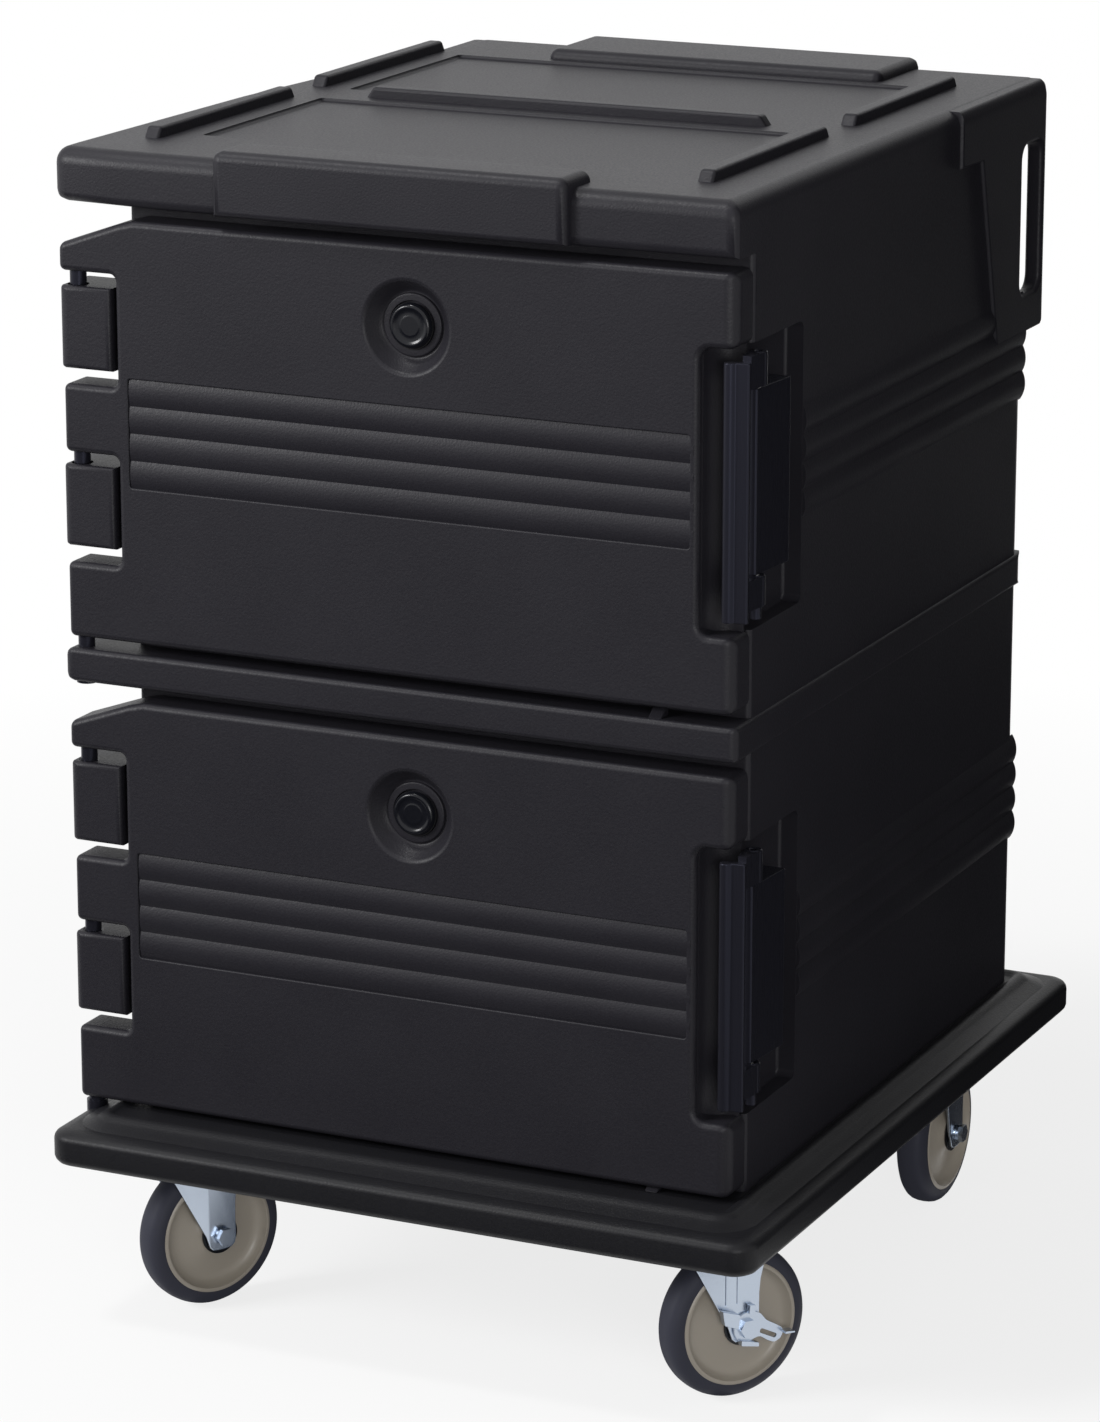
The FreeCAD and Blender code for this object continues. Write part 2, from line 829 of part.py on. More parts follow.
def latch_leaf(level):
    """Block in the side pocket with the barrel for the latch pin and a flange for its screws."""
    floor = half_body - pocket_depth
    z0 = level + leaf_lift
    z1 = z0 + leaf_height
    first = body_front + leaf_setback
    last = first + leaf_length
    leaf = block(floor, floor + leaf_thickness, first, last, z0, z1)
    outside = floor + overcut
    leaf = round_upright(leaf, leaf_round, lambda point: point.x > outside and point.y > first + overcut)
    flange = block(floor, floor + flange_thickness, last - leaf_round, last + flange_length, z0, z1)
    web = block(floor + leaf_thickness / 2, latch_x, latch_y, first + leaf_round, z0, z1)
    barrel = upright(latch_barrel_radius, latch_x, latch_y, z0, z1)
    solid = joined([leaf, flange, web, barrel])
    cuts = [upright(latch_pin_radius, latch_x, latch_y, z0 - overcut, z1 + overcut)]
    for place in latch_screw_places(level):
        start = place + V(overcut, 0, 0)
        through = flange_thickness + 2 * overcut
        cuts.append(bar_along(latch_screw_radius + screw_clearance, start, V(-1, 0, 0), through))
    return solid.cut(cuts)


def latch_screws(level):
    """Screws that hold the leaf."""
    result = []
    for place in latch_screw_places(level):
        shank = bar_along(latch_screw_radius, place, V(-1, 0, 0), latch_screw_length)
        head = bar_along(latch_screw_head, place, V(1, 0, 0), latch_screw_head_height)
        result.append(shank.fuse(head).removeSplitter())
    return result


def latch_pin(level):
    """Pin that the latch handle turns on."""
    z0 = level + handle_lift + handle_ear_gap
    z1 = level + handle_lift + handle_height - handle_ear_gap
    return upright(latch_pin_radius, latch_x, latch_y, z0, z1)


def latch_handle(level):
    """Handle bar over the door's edge, with an ear on the latch pin at each end."""
    z0 = level + handle_lift
    z1 = z0 + handle_height
    inner_front = handle_front - handle_thickness
    outline = [(-handle_reach, -handle_front),
               (handle_end - handle_thickness, -handle_front),
               (handle_end, -handle_front + handle_slope),
               (handle_end, -inner_front),
               (-handle_reach, -inner_front)]
    bar = plan_prism([(latch_x + x, latch_y + y) for x, y in outline], z0, z1)
    bar = round_upright(bar, handle_round)
    pieces = [bar]
    low_end = level + leaf_lift - handle_ear_gap
    high_start = level + leaf_lift + leaf_height + handle_ear_gap
    left = latch_x - latch_barrel_radius / 2
    right = latch_x + handle_end
    front = latch_y - inner_front - handle_round
    for start, end in ((z0, low_end), (high_start, z1)):
        pieces.append(upright(latch_barrel_radius, latch_x, latch_y, start, end))
        pieces.append(block(left, right, front, latch_y, start, end))
    solid = joined(pieces)
    bore = upright(latch_pin_radius + running_fit, latch_x, latch_y, z0 + handle_ear_gap,
                   z1 - handle_ear_gap)
    return solid.cut(bore)


# Sub-shapes of the casters, made at the origin with the axle along X and the wheel trailing to +Y

def ring_along_x(outer, inner, width, y, z):
    """Ring or tube across the caster, centred on its middle plane."""
    solid = bar_along(outer, V(-width / 2, y, z), V(1, 0, 0), width)
    return solid.cut(bar_along(inner, V(-width, y, z), V(1, 0, 0), 2 * width))


def tyre(trail):
    """Tyre with rounded shoulders."""
    solid = bar_along(wheel_radius, V(-tyre_width / 2, trail, wheel_radius), V(1, 0, 0), tyre_width)
    solid = solid.makeFillet(tyre_round, [edge for edge in solid.Edges if edge.Closed])
    inner = wheel_radius - tyre_thickness
    return solid.cut(bar_along(inner, V(-tyre_width, trail, wheel_radius), V(1, 0, 0), 2 * tyre_width))


def wheel_core(trail):
    """Moulded wheel centre: rim, web and hub."""
    rim_outer = wheel_radius - tyre_thickness
    rim_width = tyre_width - 2 * rim_setback
    rim = ring_along_x(rim_outer, rim_outer - 2 * sleeve_wall, rim_width, trail, wheel_radius)
    web = ring_along_x(rim_outer - sleeve_wall, hub_radius - sleeve_wall, web_thickness, trail, wheel_radius)
    hub = ring_along_x(hub_radius, axle_radius + sleeve_wall, hub_width, trail, wheel_radius)
    return joined([rim, web, hub])


def axle_sleeve(trail):
    """Bearing sleeve between the wheel and the axle."""
    return ring_along_x(axle_radius + sleeve_wall, axle_radius + running_fit, hub_width, trail, wheel_radius)


def axle_bolt(trail):
    """Axle bolt with its head and nut outside the legs."""
    outer = leg_gap + leg_thickness
    collar = brake_thickness + brake_gap
    length = 2 * (outer + collar + nut_thickness)
    shaft = bar_along(axle_radius, V(-length / 2, trail, wheel_radius), V(1, 0, 0), length)
    pieces = [shaft]
    turns = [math.radians(60 * index) for index in range(6)]
    outline = [(trail + nut_radius * math.cos(turn), wheel_radius + nut_radius * math.sin(turn))
               for turn in turns]
    for side in (-1, 1):
        start = side * (outer + collar)
        pieces.append(side_prism(outline, start, start + side * nut_thickness))
        pieces.append(bar_along(collar_radius, V(side * outer, trail, wheel_radius), V(side, 0, 0), collar))
    return joined(pieces)


def thread_guards(trail):
    """Thin discs between the hub and the legs."""
    result = []
    room = leg_gap - hub_width / 2
    across = V(1, 0, 0)
    bore = bar_along(axle_radius, V(-2 * leg_gap, trail, wheel_radius), across, 4 * leg_gap)
    for side in (-1, 1):
        middle = side * (hub_width / 2 + room / 2)
        edge = V(middle - guard_thickness / 2, trail, wheel_radius)
        disc = bar_along(guard_radius, edge, across, guard_thickness)
        start = V(side * (hub_width / 2 + hub_play), trail, wheel_radius)
        collar = bar_along(axle_radius + sleeve_wall, start, V(side, 0, 0), room - hub_play)
        result.append(disc.fuse(collar).removeSplitter().cut(bore))
    return Part.makeCompound(result)


def leg_pair(trail, front, rear, top):
    """Two legs from a crown down to the axle."""
    result = []
    foot = leg_foot_radius
    outline = [(front, top), (rear, top), (trail + foot, wheel_radius), (trail - foot, wheel_radius)]
    reach = leg_gap + leg_thickness
    bore = bar_along(axle_radius, V(-2 * reach, trail, wheel_radius), V(1, 0, 0), 4 * reach)
    for inner, outer in ((-reach, -leg_gap), (leg_gap, reach)):
        leg = side_prism(outline, inner, outer)
        boss = bar_along(foot, V(inner, trail, wheel_radius), V(1, 0, 0), leg_thickness)
        result.append(leg.fuse(boss).removeSplitter().cut(bore))
    return result


def crown_top():
    """Height of the swivel fork's crown."""
    return caster_height - plate_thickness - race_cup_height - race_height - race_clearance


def swivel_fork():
    """Pressed fork that swivels under the plate."""
    top = crown_top()
    half = leg_gap + leg_thickness
    crown = block(-half, half, -crown_front, crown_rear, top - crown_thickness, top)
    crown = round_upright(crown, crown_round)
    front = -crown_front + crown_round
    rear = crown_rear - crown_round
    fork = joined([crown] + leg_pair(swivel_trail, front, rear, top - crown_thickness / 2))
    return fork.cut(upright(kingpin_radius + running_fit, 0, 0, top - 2 * crown_thickness, top + overcut))


def plate_blank():
    """Mounting plate with its four bolt holes."""
    plate = block(-plate_width / 2, plate_width / 2, -plate_length / 2, plate_length / 2,
                  caster_height - plate_thickness, caster_height)
    plate = round_upright(plate, plate_round)
    holes = []
    low = caster_height - plate_thickness - overcut
    for x in (-bolt_width_pitch / 2, bolt_width_pitch / 2):
        for y in (-bolt_length_pitch / 2, bolt_length_pitch / 2):
            holes.append(upright(bolt_radius + bolt_clearance, x, y, low, caster_height + overcut))
    return plate.cut(holes)


def swivel_plate():
    """Plate with the upper cup of the ball race."""
    cup_bottom = caster_height - plate_thickness - race_cup_height
    cup = upright(race_cup_radius, 0, 0, cup_bottom, caster_height - plate_thickness)
    bore = upright(kingpin_radius, 0, 0, cup_bottom - overcut, caster_height + overcut)
    return plate_blank().fuse(cup).removeSplitter().cut(bore)


def kingpin():
    """Rivet that holds the fork up against the race."""
    low = crown_top() - crown_thickness - race_clearance
    stem = upright(kingpin_radius, 0, 0, low - overcut, caster_height)
    head = upright(kingpin_head_radius, 0, 0, low - kingpin_head_height, low)
    return stem.fuse(head).removeSplitter()


def ball_race():
    """Race ring between the cup and the crown."""
    z0 = crown_top() + race_clearance
    ring = upright(race_radius, 0, 0, z0, z0 + race_height)
    return ring.cut(upright(race_radius * race_bore_share, 0, 0, z0 - overcut, z0 + race_height + overcut))


def rigid_frame():
    """Plate and legs of a rigid caster, pressed in one piece."""
    top = caster_height - plate_thickness
    legs = leg_pair(0, -rigid_leg_top / 2, rigid_leg_top / 2, top + plate_thickness / 2)
    return joined([plate_blank()] + legs)


def brake_lever():
    """Lever beside the fork that locks the wheel."""
    start = leg_gap + leg_thickness + brake_gap / 2
    hub = bar_along(brake_half, V(start, swivel_trail, wheel_radius), V(1, 0, 0), brake_thickness)
    low = wheel_radius - brake_arm_low
    high = wheel_radius + brake_arm_high
    tip = swivel_trail + brake_reach
    arm = block(start, start + brake_thickness, swivel_trail, tip, low, high)
    tab = block(start, start + brake_tab, tip - brake_thickness, tip, low, high)
    across = V(start - brake_thickness, swivel_trail, wheel_radius)
    hole = bar_along(collar_radius + running_fit, across, V(1, 0, 0), 3 * brake_thickness)
    return joined([hub, arm, tab]).cut(hole)


def set_caster(shape, centre, turn):
    """Turn a caster piece about its plate centre and move it to its place."""
    placed = shape.copy()
    placed.rotate(V(0, 0, 0), V(0, 0, 1), turn)
    placed.translate(centre)
    return placed


def caster_bolts():
    """Bolts that hold the caster plates."""
    result = []
    under = caster_height - plate_thickness
    tip = caster_height + bolt_length - insert_wall
    for x, y in bolt_places():
        head = upright(bolt_head_radius, x, y, under - bolt_head_height, under)
        shank = upright(bolt_radius, x, y, under - overcut, tip)
        result.append(head.fuse(shank).removeSplitter())
    return Part.makeCompound(result)


def caster_inserts():
    """Threaded inserts moulded into the base."""
    result = []
    tip = caster_height + bolt_length - insert_wall
    for x, y in bolt_places():
        tube = upright(bolt_radius + insert_wall, x, y, caster_height, caster_height + bolt_length)
        result.append(tube.cut(upright(bolt_radius, x, y, caster_height - overcut, tip)))
    return Part.makeCompound(result)


def save_cabinet():
    """Write the mouldings of the cabinet and what is fixed in them."""
    foam = foam_core()
    tray_foam = base_foam()
    body = body_block()
    grip = push_grip()
    grips = [grip, mirrored(grip)]
    save("cabinet_foam", foam)
    save("cabinet_shell", cabinet_shell(grips, foam))
    save("cabinet_top", cabinet_top(grips, foam))
    save("push_handles", push_grips(foam))
    save("middle_band", middle_band(body))
    save("cabinet_knuckles", cabinet_knuckles(body))
    save("pan_rails", Part.makeCompound(rails(door_levels["lower"]) + rails(door_levels["upper"])))
    save("base_tray", base_tray(tray_foam))
    save("base_foam", tray_foam)
    save("hinge_bushings", hinge_bushings())
    save("caster_bolts", caster_bolts())
    save("caster_inserts", caster_inserts())


def save_door(side, level):
    """Write one door and the latch beside it."""
    foam = door_foam(level)
    save(side + "_door_foam", foam)
    save(side + "_door_shell", door_shell(level, foam))
    save(side + "_door_seals", Part.makeCompound([door_gasket(level), vent_seal(level)]))
    save(side + "_hinge_pins", hinge_pins(level))
    save(side + "_vent_tube", vent_tube(level))
    save(side + "_vent_cap", vent_cap(level))
    save(side + "_latch_leaf", latch_leaf(level))
    save(side + "_latch_fixings", Part.makeCompound(latch_screws(level) + [latch_pin(level)]))
    save(side + "_latch_handle", latch_handle(level))


def save_caster(name, centre, turn):
    """Write the pieces of one caster."""
    swivels = turn is not None
    trail = swivel_trail if swivels else 0.0
    pieces = {"tyre": tyre(trail), "wheel_core": wheel_core(trail), "axle_sleeve": axle_sleeve(trail),
              "axle_bolt": axle_bolt(trail), "thread_guards": thread_guards(trail)}
    if swivels:
        pieces["swivel_fork"] = swivel_fork()
        pieces["kingpin_race"] = Part.makeCompound([kingpin(), ball_race()])
        save(name + "_swivel_plate", set_caster(swivel_plate(), centre, 0.0))
    else:
        pieces["rigid_frame"] = rigid_frame()
    if name == "front_right":
        pieces["brake_lever"] = brake_lever()
    for piece, shape in pieces.items():
        save(name + "_" + piece, set_caster(shape, centre, turn or 0.0))


os.makedirs("parts", exist_ok=True)
save_cabinet()
for side, level in door_levels.items():
    save_door(side, level)
for name, centre, turn in caster_places():
    save_caster(name, centre, turn)
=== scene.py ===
import json
import math

import bmesh
import bpy
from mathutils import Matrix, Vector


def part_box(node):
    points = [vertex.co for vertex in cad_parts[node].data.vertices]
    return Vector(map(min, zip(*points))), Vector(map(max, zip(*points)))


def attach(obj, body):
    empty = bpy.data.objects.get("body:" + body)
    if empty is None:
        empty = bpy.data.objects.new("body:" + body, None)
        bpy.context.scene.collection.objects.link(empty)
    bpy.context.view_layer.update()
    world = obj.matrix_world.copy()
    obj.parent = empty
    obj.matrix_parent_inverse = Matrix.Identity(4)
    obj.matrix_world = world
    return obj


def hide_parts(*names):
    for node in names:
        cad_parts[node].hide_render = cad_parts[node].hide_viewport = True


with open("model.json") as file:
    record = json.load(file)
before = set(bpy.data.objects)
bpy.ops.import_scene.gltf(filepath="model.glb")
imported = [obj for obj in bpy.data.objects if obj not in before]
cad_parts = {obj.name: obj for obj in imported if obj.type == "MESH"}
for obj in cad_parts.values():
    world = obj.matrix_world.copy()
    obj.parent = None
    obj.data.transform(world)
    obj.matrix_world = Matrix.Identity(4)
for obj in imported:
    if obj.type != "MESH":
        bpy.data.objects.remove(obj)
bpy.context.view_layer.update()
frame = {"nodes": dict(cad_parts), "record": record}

bl_info = {
    "name": "Insulated food cart",
    "version": (1, 0, 0),
    "blender": (4, 5, 0),
    "location": "View3D > Sidebar > Food cart",
    "description": "Builds the moulded, nylon, rubber and steel pieces of an insulated two-door food cart",
    "category": "Add Mesh",
}

# Pieces are modelled about the middle of the cabinet, and moved from there to the cart's own frame
cabinet_middle = (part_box("rear_left_tyre")[0].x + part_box("rear_right_tyre")[1].x) / 2

LEFT_TO_RIGHT, FRONT_TO_BACK, UPRIGHT = 0, 1, 2

# Places that several pieces share, in metres
NOTCH_LOW, NOTCH_HIGH = 0.076, 0.357   # ends of the latch notch and pocket above a door's bottom edge
NOTCH_WIDTH = 0.0385                   # of the notch in a door, from its right edge
POCKET_DEPTH = 0.020                   # of the latch pocket in the side wall
DOOR_INSET = 0.0045                    # of a door's left edge from the side wall
VENT_PLACE, VENT_DROP = -0.010, 0.080  # vent's axis from the middle, and below a door's top edge
DISH_RADIUS = 0.0465                   # of the dish round a vent
RIB_BASE = 0.1745                      # lowest rib above a door's bottom edge
TOP_SHIFT = -0.003                     # of the top's cross bar from halfway between the rim's edges
TOP_GAP = 0.031                        # from the top's cross bar to the panels and bars beside it
BAND_DROP = 0.012                      # of the middle band's upper face below the upper door
HAND_DEPTH = 0.033                     # of the hand space, forward from the rear wall
PAST = 0.02                            # by which a cutting block stands past the face it cuts
TRAIL = 0.024                          # from a kingpin back to its axle

SMOOTH_BELOW = 42  # degrees between faces up to which shading is smooth


def linear(hex_colour):
    """Linear colour of an sRGB hex value."""
    result = []
    for start in (1, 3, 5):
        value = int(hex_colour[start:start + 2], 16) / 255
        result.append(value / 12.92 if value <= 0.04045 else ((value + 0.055) / 1.055) ** 2.4)
    return tuple(result)


def length(name, description, default):
    """Property for one size in metres."""
    return bpy.props.FloatProperty(name=name, description=description, default=default, min=0.0,
                                   unit="LENGTH")


def colour(name, description, default):
    """Property for the colour of one finish."""
    return bpy.props.FloatVectorProperty(name=name, description=description, default=linear(default),
                                         min=0.0, max=1.0, subtype="COLOR")


class CartSizes(bpy.types.PropertyGroup):
    """Sizes of the cart that its pieces are modelled from."""
    half_body: length("Half body width", "From the middle to the outer face of a side wall", 0.3365)
    body_front: length("Body front", "From the middle forward to the cabinet's front face", 0.344)
    body_rear: length("Body rear", "From the middle back to the cabinet's rear face", 0.411)
    body_corner: length("Body corner", "Radius of the upright rear corners", 0.026)
    inner_half: length("Half compartment width", "From the middle to a compartment's wall", 0.2815)
    compartment_rear: length("Compartment rear", "From the middle back to a compartment's rear wall", 0.356)
    door_margin: length("Door margin", "Overlap of a door beyond its compartment", 0.024)
    door_front: length("Door front", "From the middle forward to the doors' outer face", 0.386)
    door_back: length("Door back", "From the middle forward to the doors' inner face", 0.347)
    door_height: length("Door height", "Height of one door", 0.430)
    lower_door: length("Lower door level", "Height of the lower door's bottom edge", 0.226)
    door_pitch: length("Door pitch", "Step from the lower door to the upper one", 0.492)
    base_half_width: length("Half base width", "From the middle to the bumper's side", 0.391)
    base_half_depth: length("Half base depth", "From the middle to the bumper's front", 0.463)
    base_bottom: length("Base underside", "Height of the base above the floor", 0.176)
    rim_bottom: length("Rim underside", "Height of the top rim's lower edge", 1.161)
    top_level: length("Top level", "Height of the top's flat face", 1.216)
    rim_rear: length("Rim rear", "From the middle back to the rim's rear edge", 0.460)
    pad_rise: length("Pad rise", "Height of pads and ribs on the top", 0.011)
    hinge_reach: length("Hinge reach", "From the middle to the line of the hinge pins", 0.382)
    latch_reach: length("Latch reach", "From the middle to the line of the latch pins", 0.344)
    latch_front: length("Latch front", "From the middle forward to the latch pins", 0.350)
    rib_pitch: length("Rib pitch", "Spacing of the half-round ribs", 0.0278)
    rib_rise: length("Rib rise", "Height of the half-round ribs", 0.0035)
    wheel_radius: length("Wheel radius", "Outer radius of the tyres", 0.080)
    tyre_width: length("Tyre width", "Width of the tyres", 0.035)


class CartColours(bpy.types.PropertyGroup):
    """Colours of the cart's finishes."""
    moulding: colour("Moulding", "Black polyethylene of cabinet and doors", "#1e1d22")
    moulding_worn: colour("Moulding, pale", "Slightly paler clouds in the polyethylene", "#252429")
    # Painted shade: the base's colours are darker than the cabinet's to stand for the shade under the
    # cabinet, not a different plastic
    base: colour("Base", "Black polyethylene of the base", "#161619")
    base_worn: colour("Base, pale", "Slightly paler clouds in the base", "#1b1b1e")
    latch: colour("Latch", "Blue-black nylon of the latches", "#1d1d23")
    gloss: colour("Gloss plastic", "Glossy black of vent caps and hinge pins", "#121318")
    seal: colour("Seal", "Black rubber of the door seals", "#161617")
    zinc: colour("Zinc", "Bright zinc plating of forks and bolts", "#bac4d2")
    steel: colour("Steel", "Stainless steel of pins and screws", "#b9b9b8")
    brass: colour("Brass", "Brass of the threaded inserts", "#b28f4e")
    tyre: colour("Tyre", "Charcoal rubber of the tyres", "#3a3b45")
    wheel: colour("Wheel centre", "Warm grey polypropylene of the wheel centres", "#a49c90")
    bearing: colour("Bearing", "Pale plastic of bearing sleeves and races", "#c9c6bd")
    foam: colour("Foam", "Insulating foam inside the walls", "#d9cda6")


def sizes():
    """Sizes in use."""
    return bpy.context.scene.food_cart_sizes


def colours():
    """Colours in use."""
    return bpy.context.scene.food_cart_colours


def door_levels():
    """Bottom heights of the lower and the upper door."""
    return sizes().lower_door, sizes().lower_door + sizes().door_pitch


# Ways of shaping a piece

def deselect():
    """Leave edit mode with nothing selected."""
    if bpy.context.object and bpy.context.object.mode != "OBJECT":
        bpy.ops.object.mode_set(mode="OBJECT")
    bpy.ops.object.select_all(action="DESELECT")


def take(piece):
    """Make one piece the only selected and the active one."""
    deselect()
    piece.select_set(True)
    bpy.context.view_layer.objects.active = piece


def open_mesh(piece):
    """Enter edit mode with the whole mesh of a piece selected."""
    take(piece)
    bpy.ops.object.mode_set(mode="EDIT")
    bpy.ops.mesh.select_all(action="SELECT")


def fix_place(piece):
    """Put a piece's place, turn and scale into its mesh."""
    take(piece)
    bpy.ops.object.transform_apply(location=True, rotation=True, scale=True)
    return piece


def named(name):
    """Name the primitive that was just added."""
    piece = bpy.context.object
    piece.name = name
    piece.data.name = name
    return fix_place(piece)


def block(name, x, y, z):
    """Box between two values on each axis."""
    deselect()
    middle = [(low + high) / 2 for low, high in (x, y, z)]
    spans = [high - low for low, high in (x, y, z)]
    bpy.ops.mesh.primitive_cube_add(size=1, location=middle, scale=spans)
    return named(name)


def prism(name, outline, axis, low, high):
    """Outline of corner points in the plane across an axis, extruded along it."""
    deselect()
    bpy.ops.mesh.primitive_circle_add(vertices=len(outline), radius=1, fill_type="NGON")
    piece = named(name)
    step = [0.0, 0.0, 0.0]
    step[axis] = high - low
    for corner, point in zip(piece.data.vertices, outline):
        place = list(point)
        place.insert(axis, low)
        corner.co = place
    open_mesh(piece)
    bpy.ops.mesh.extrude_region_move(TRANSFORM_OT_translate={"value": step})
    bpy.ops.mesh.select_all(action="SELECT")
    bpy.ops.mesh.normals_make_consistent(inside=False)
    bpy.ops.object.mode_set(mode="OBJECT")
    return piece


def turned(name, profile, sides, ring=False):
    """Round piece along X from rings of (place along X, radius); a ring closes on itself round a hole."""
    deselect()
    first, radius = profile[0]
    bpy.ops.mesh.primitive_circle_add(vertices=sides, radius=radius, fill_type="NOTHING" if ring else "NGON",
                                      location=(first, 0, 0), rotation=(0, math.pi / 2, 0))
    piece = named(name)
    open_mesh(piece)
    steps = profile[1:] + profile[:1] if ring else profile[1:]
    for along, wide in steps:
        move = {"value": (along - first, 0, 0)}
        if ring:
            bpy.ops.mesh.extrude_edges_move(TRANSFORM_OT_translate=move)
        else:
            bpy.ops.mesh.extrude_region_move(TRANSFORM_OT_translate=move)
        grow = wide / radius
        bpy.ops.transform.resize(value=(1, grow, grow), center_override=(along, 0, 0))
        first, radius = along, wide
    bpy.ops.mesh.select_all(action="SELECT")
    bpy.ops.mesh.remove_doubles(threshold=1e-6)
    bpy.ops.mesh.normals_make_consistent(inside=False)
    bpy.ops.object.mode_set(mode="OBJECT")
    return piece


def rounded_bar(name, start, along, span, radius, keep, edge):
    """Slice of a round bar along X or Y that stands out from a flat face like a moulded rib."""
    deselect()
    middle = list(start)
    middle[along] += span / 2
    turn = (0, math.pi / 2, 0) if along == LEFT_TO_RIGHT else (math.pi / 2, 0, 0)
    bpy.ops.mesh.primitive_cylinder_add(vertices=128, radius=radius, depth=span, location=middle,
                                        rotation=turn)
    piece = named(name)
    open_mesh(piece)
    bpy.ops.mesh.bisect(plane_co=edge, plane_no=keep, use_fill=True, clear_inner=True)
    bpy.ops.object.mode_set(mode="OBJECT")
    return piece


def arc_radius(half, rise):
    """Radius of the arc that gives a rib its half width and its rise."""
    return (half * half + rise * rise) / (2 * rise)


def cut(piece, tool):
    """Cut a piece with a tool and remove the tool."""
    take(piece)
    carving = piece.modifiers.new("carving", "BOOLEAN")
    carving.operation = "DIFFERENCE"
    carving.object = tool
    carving.solver = "EXACT"
    bpy.ops.object.modifier_apply(modifier=carving.name)
    bpy.data.objects.remove(tool, do_unlink=True)


def gather(name, pieces):
    """Several pieces in one object."""
    take(pieces[0])
    for piece in pieces[1:]:
        piece.select_set(True)
    bpy.ops.object.join()
    whole = bpy.context.object
    whole.name = name
    whole.data.name = name
    return whole


def copied(piece, name, move):
    """Copy with its own mesh, moved."""
    take(piece)
    bpy.ops.object.duplicate(linked=False)
    twin = bpy.context.object
    twin.name = name
    twin.data.name = name
    twin.location = move
    return fix_place(twin)


def soften(piece, rules, steps):
    """Round edges, each by the radius of the first rule whose test it passes."""
    take(piece)
    widest = max(radius for radius, test in rules)
    mesh = bmesh.new()
    mesh.from_mesh(piece.data)
    weight = mesh.edges.layers.float.new("bevel_weight_edge")
    for edge in mesh.edges:
        for radius, test in rules:
            if test(edge):
                edge[weight] = radius / widest
                break
    mesh.to_mesh(piece.data)
    mesh.free()
    rounding = piece.modifiers.new("soft edges", "BEVEL")
    rounding.limit_method = "WEIGHT"
    rounding.width = widest
    rounding.segments = steps
    bpy.ops.object.modifier_apply(modifier=rounding.name)
    leftover = piece.data.attributes.get("bevel_weight_edge")
    if leftover:
        piece.data.attributes.remove(leftover)
    return piece


def runs(edge, axis):
    """Whether an edge is parallel to an axis."""
    way = edge.verts[1].co - edge.verts[0].co
    return abs(way[axis]) > 0.999 * way.length


def crosswise(edge):
    """Whether an edge runs from left to right."""
    return runs(edge, LEFT_TO_RIGHT)


def lengthwise(edge):
    """Whether an edge runs from front to back."""
    return runs(edge, FRONT_TO_BACK)


def upright(edge):
    """Whether an edge stands upright."""
    return runs(edge, UPRIGHT)


def any_edge(edge):
    """Rule for every edge of a piece."""
    return True


def place_of(edge):
    """Middle of an edge."""
    return (edge.verts[0].co + edge.verts[1].co) / 2


def lies_at(edge, axis, value):
    """Whether an edge lies in one plane across an axis."""
    return all(abs(corner.co[axis] - value) < 1e-5 for corner in edge.verts)


def is_sharp(edge, degrees=40):
    """Whether the faces beside an edge turn sharply."""
    return len(edge.link_faces) == 2 and edge.calc_face_angle(0.0) > math.radians(degrees)


def even_shading(piece):
    """Smooth shading that keeps flat faces flat beside rounded edges."""
    take(piece)
    bpy.ops.object.shade_smooth_by_angle(angle=math.radians(SMOOTH_BELOW))
    even = piece.modifiers.new("even normals", "WEIGHTED_NORMAL")
    even.keep_sharp = True
    bpy.ops.object.modifier_apply(modifier=even.name)


def hand_over(piece, body, finish, nodes):
    """Move a finished piece to its place in the cart and tie it to its body."""
    piece.location.x = cabinet_middle
    fix_place(piece)
    even_shading(piece)
    piece.data.materials.clear()
    piece.data.materials.append(material(finish))
    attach(piece, body)
    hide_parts(*nodes)
    deselect()


# Finishes

def add(tree, kind, settings=None, links=None):
    """Add a node with its settings and the links into it."""
    node = tree.nodes.new(kind)
    for key, value in (settings or {}).items():
        if isinstance(key, int) or key in node.inputs:
            node.inputs[key].default_value = value
        else:
            setattr(node, key, value)
    for key, source in (links or {}).items():
        tree.links.new(source, node.inputs[key])
    return node


def paint(value):
    """Colour of a property with full opacity."""
    return (*value, 1.0)


def settle(tree, shader, values, links):
    """Give a shader its uniform values and the links that drive the rest."""
    for key, value in values.items():
        shader.inputs[key].default_value = value
    for key, source in links.items():
        tree.links.new(source, shader.inputs[key])


def patchy_gloss(tree, shader, patch, detail, low, high, values):
    """Even colour whose roughness wanders between two values in patches of one size in metres."""
    place = add(tree, "ShaderNodeTexCoord").outputs["Object"]
    patches = add(tree, "ShaderNodeTexNoise", {"Scale": 1 / patch, "Detail": detail}, {"Vector": place})
    gloss = add(tree, "ShaderNodeMapRange", {"To Min": low, "To Max": high}, {"Value": patches.outputs[0]})
    settle(tree, shader, values, {"Roughness": gloss.outputs[0]})


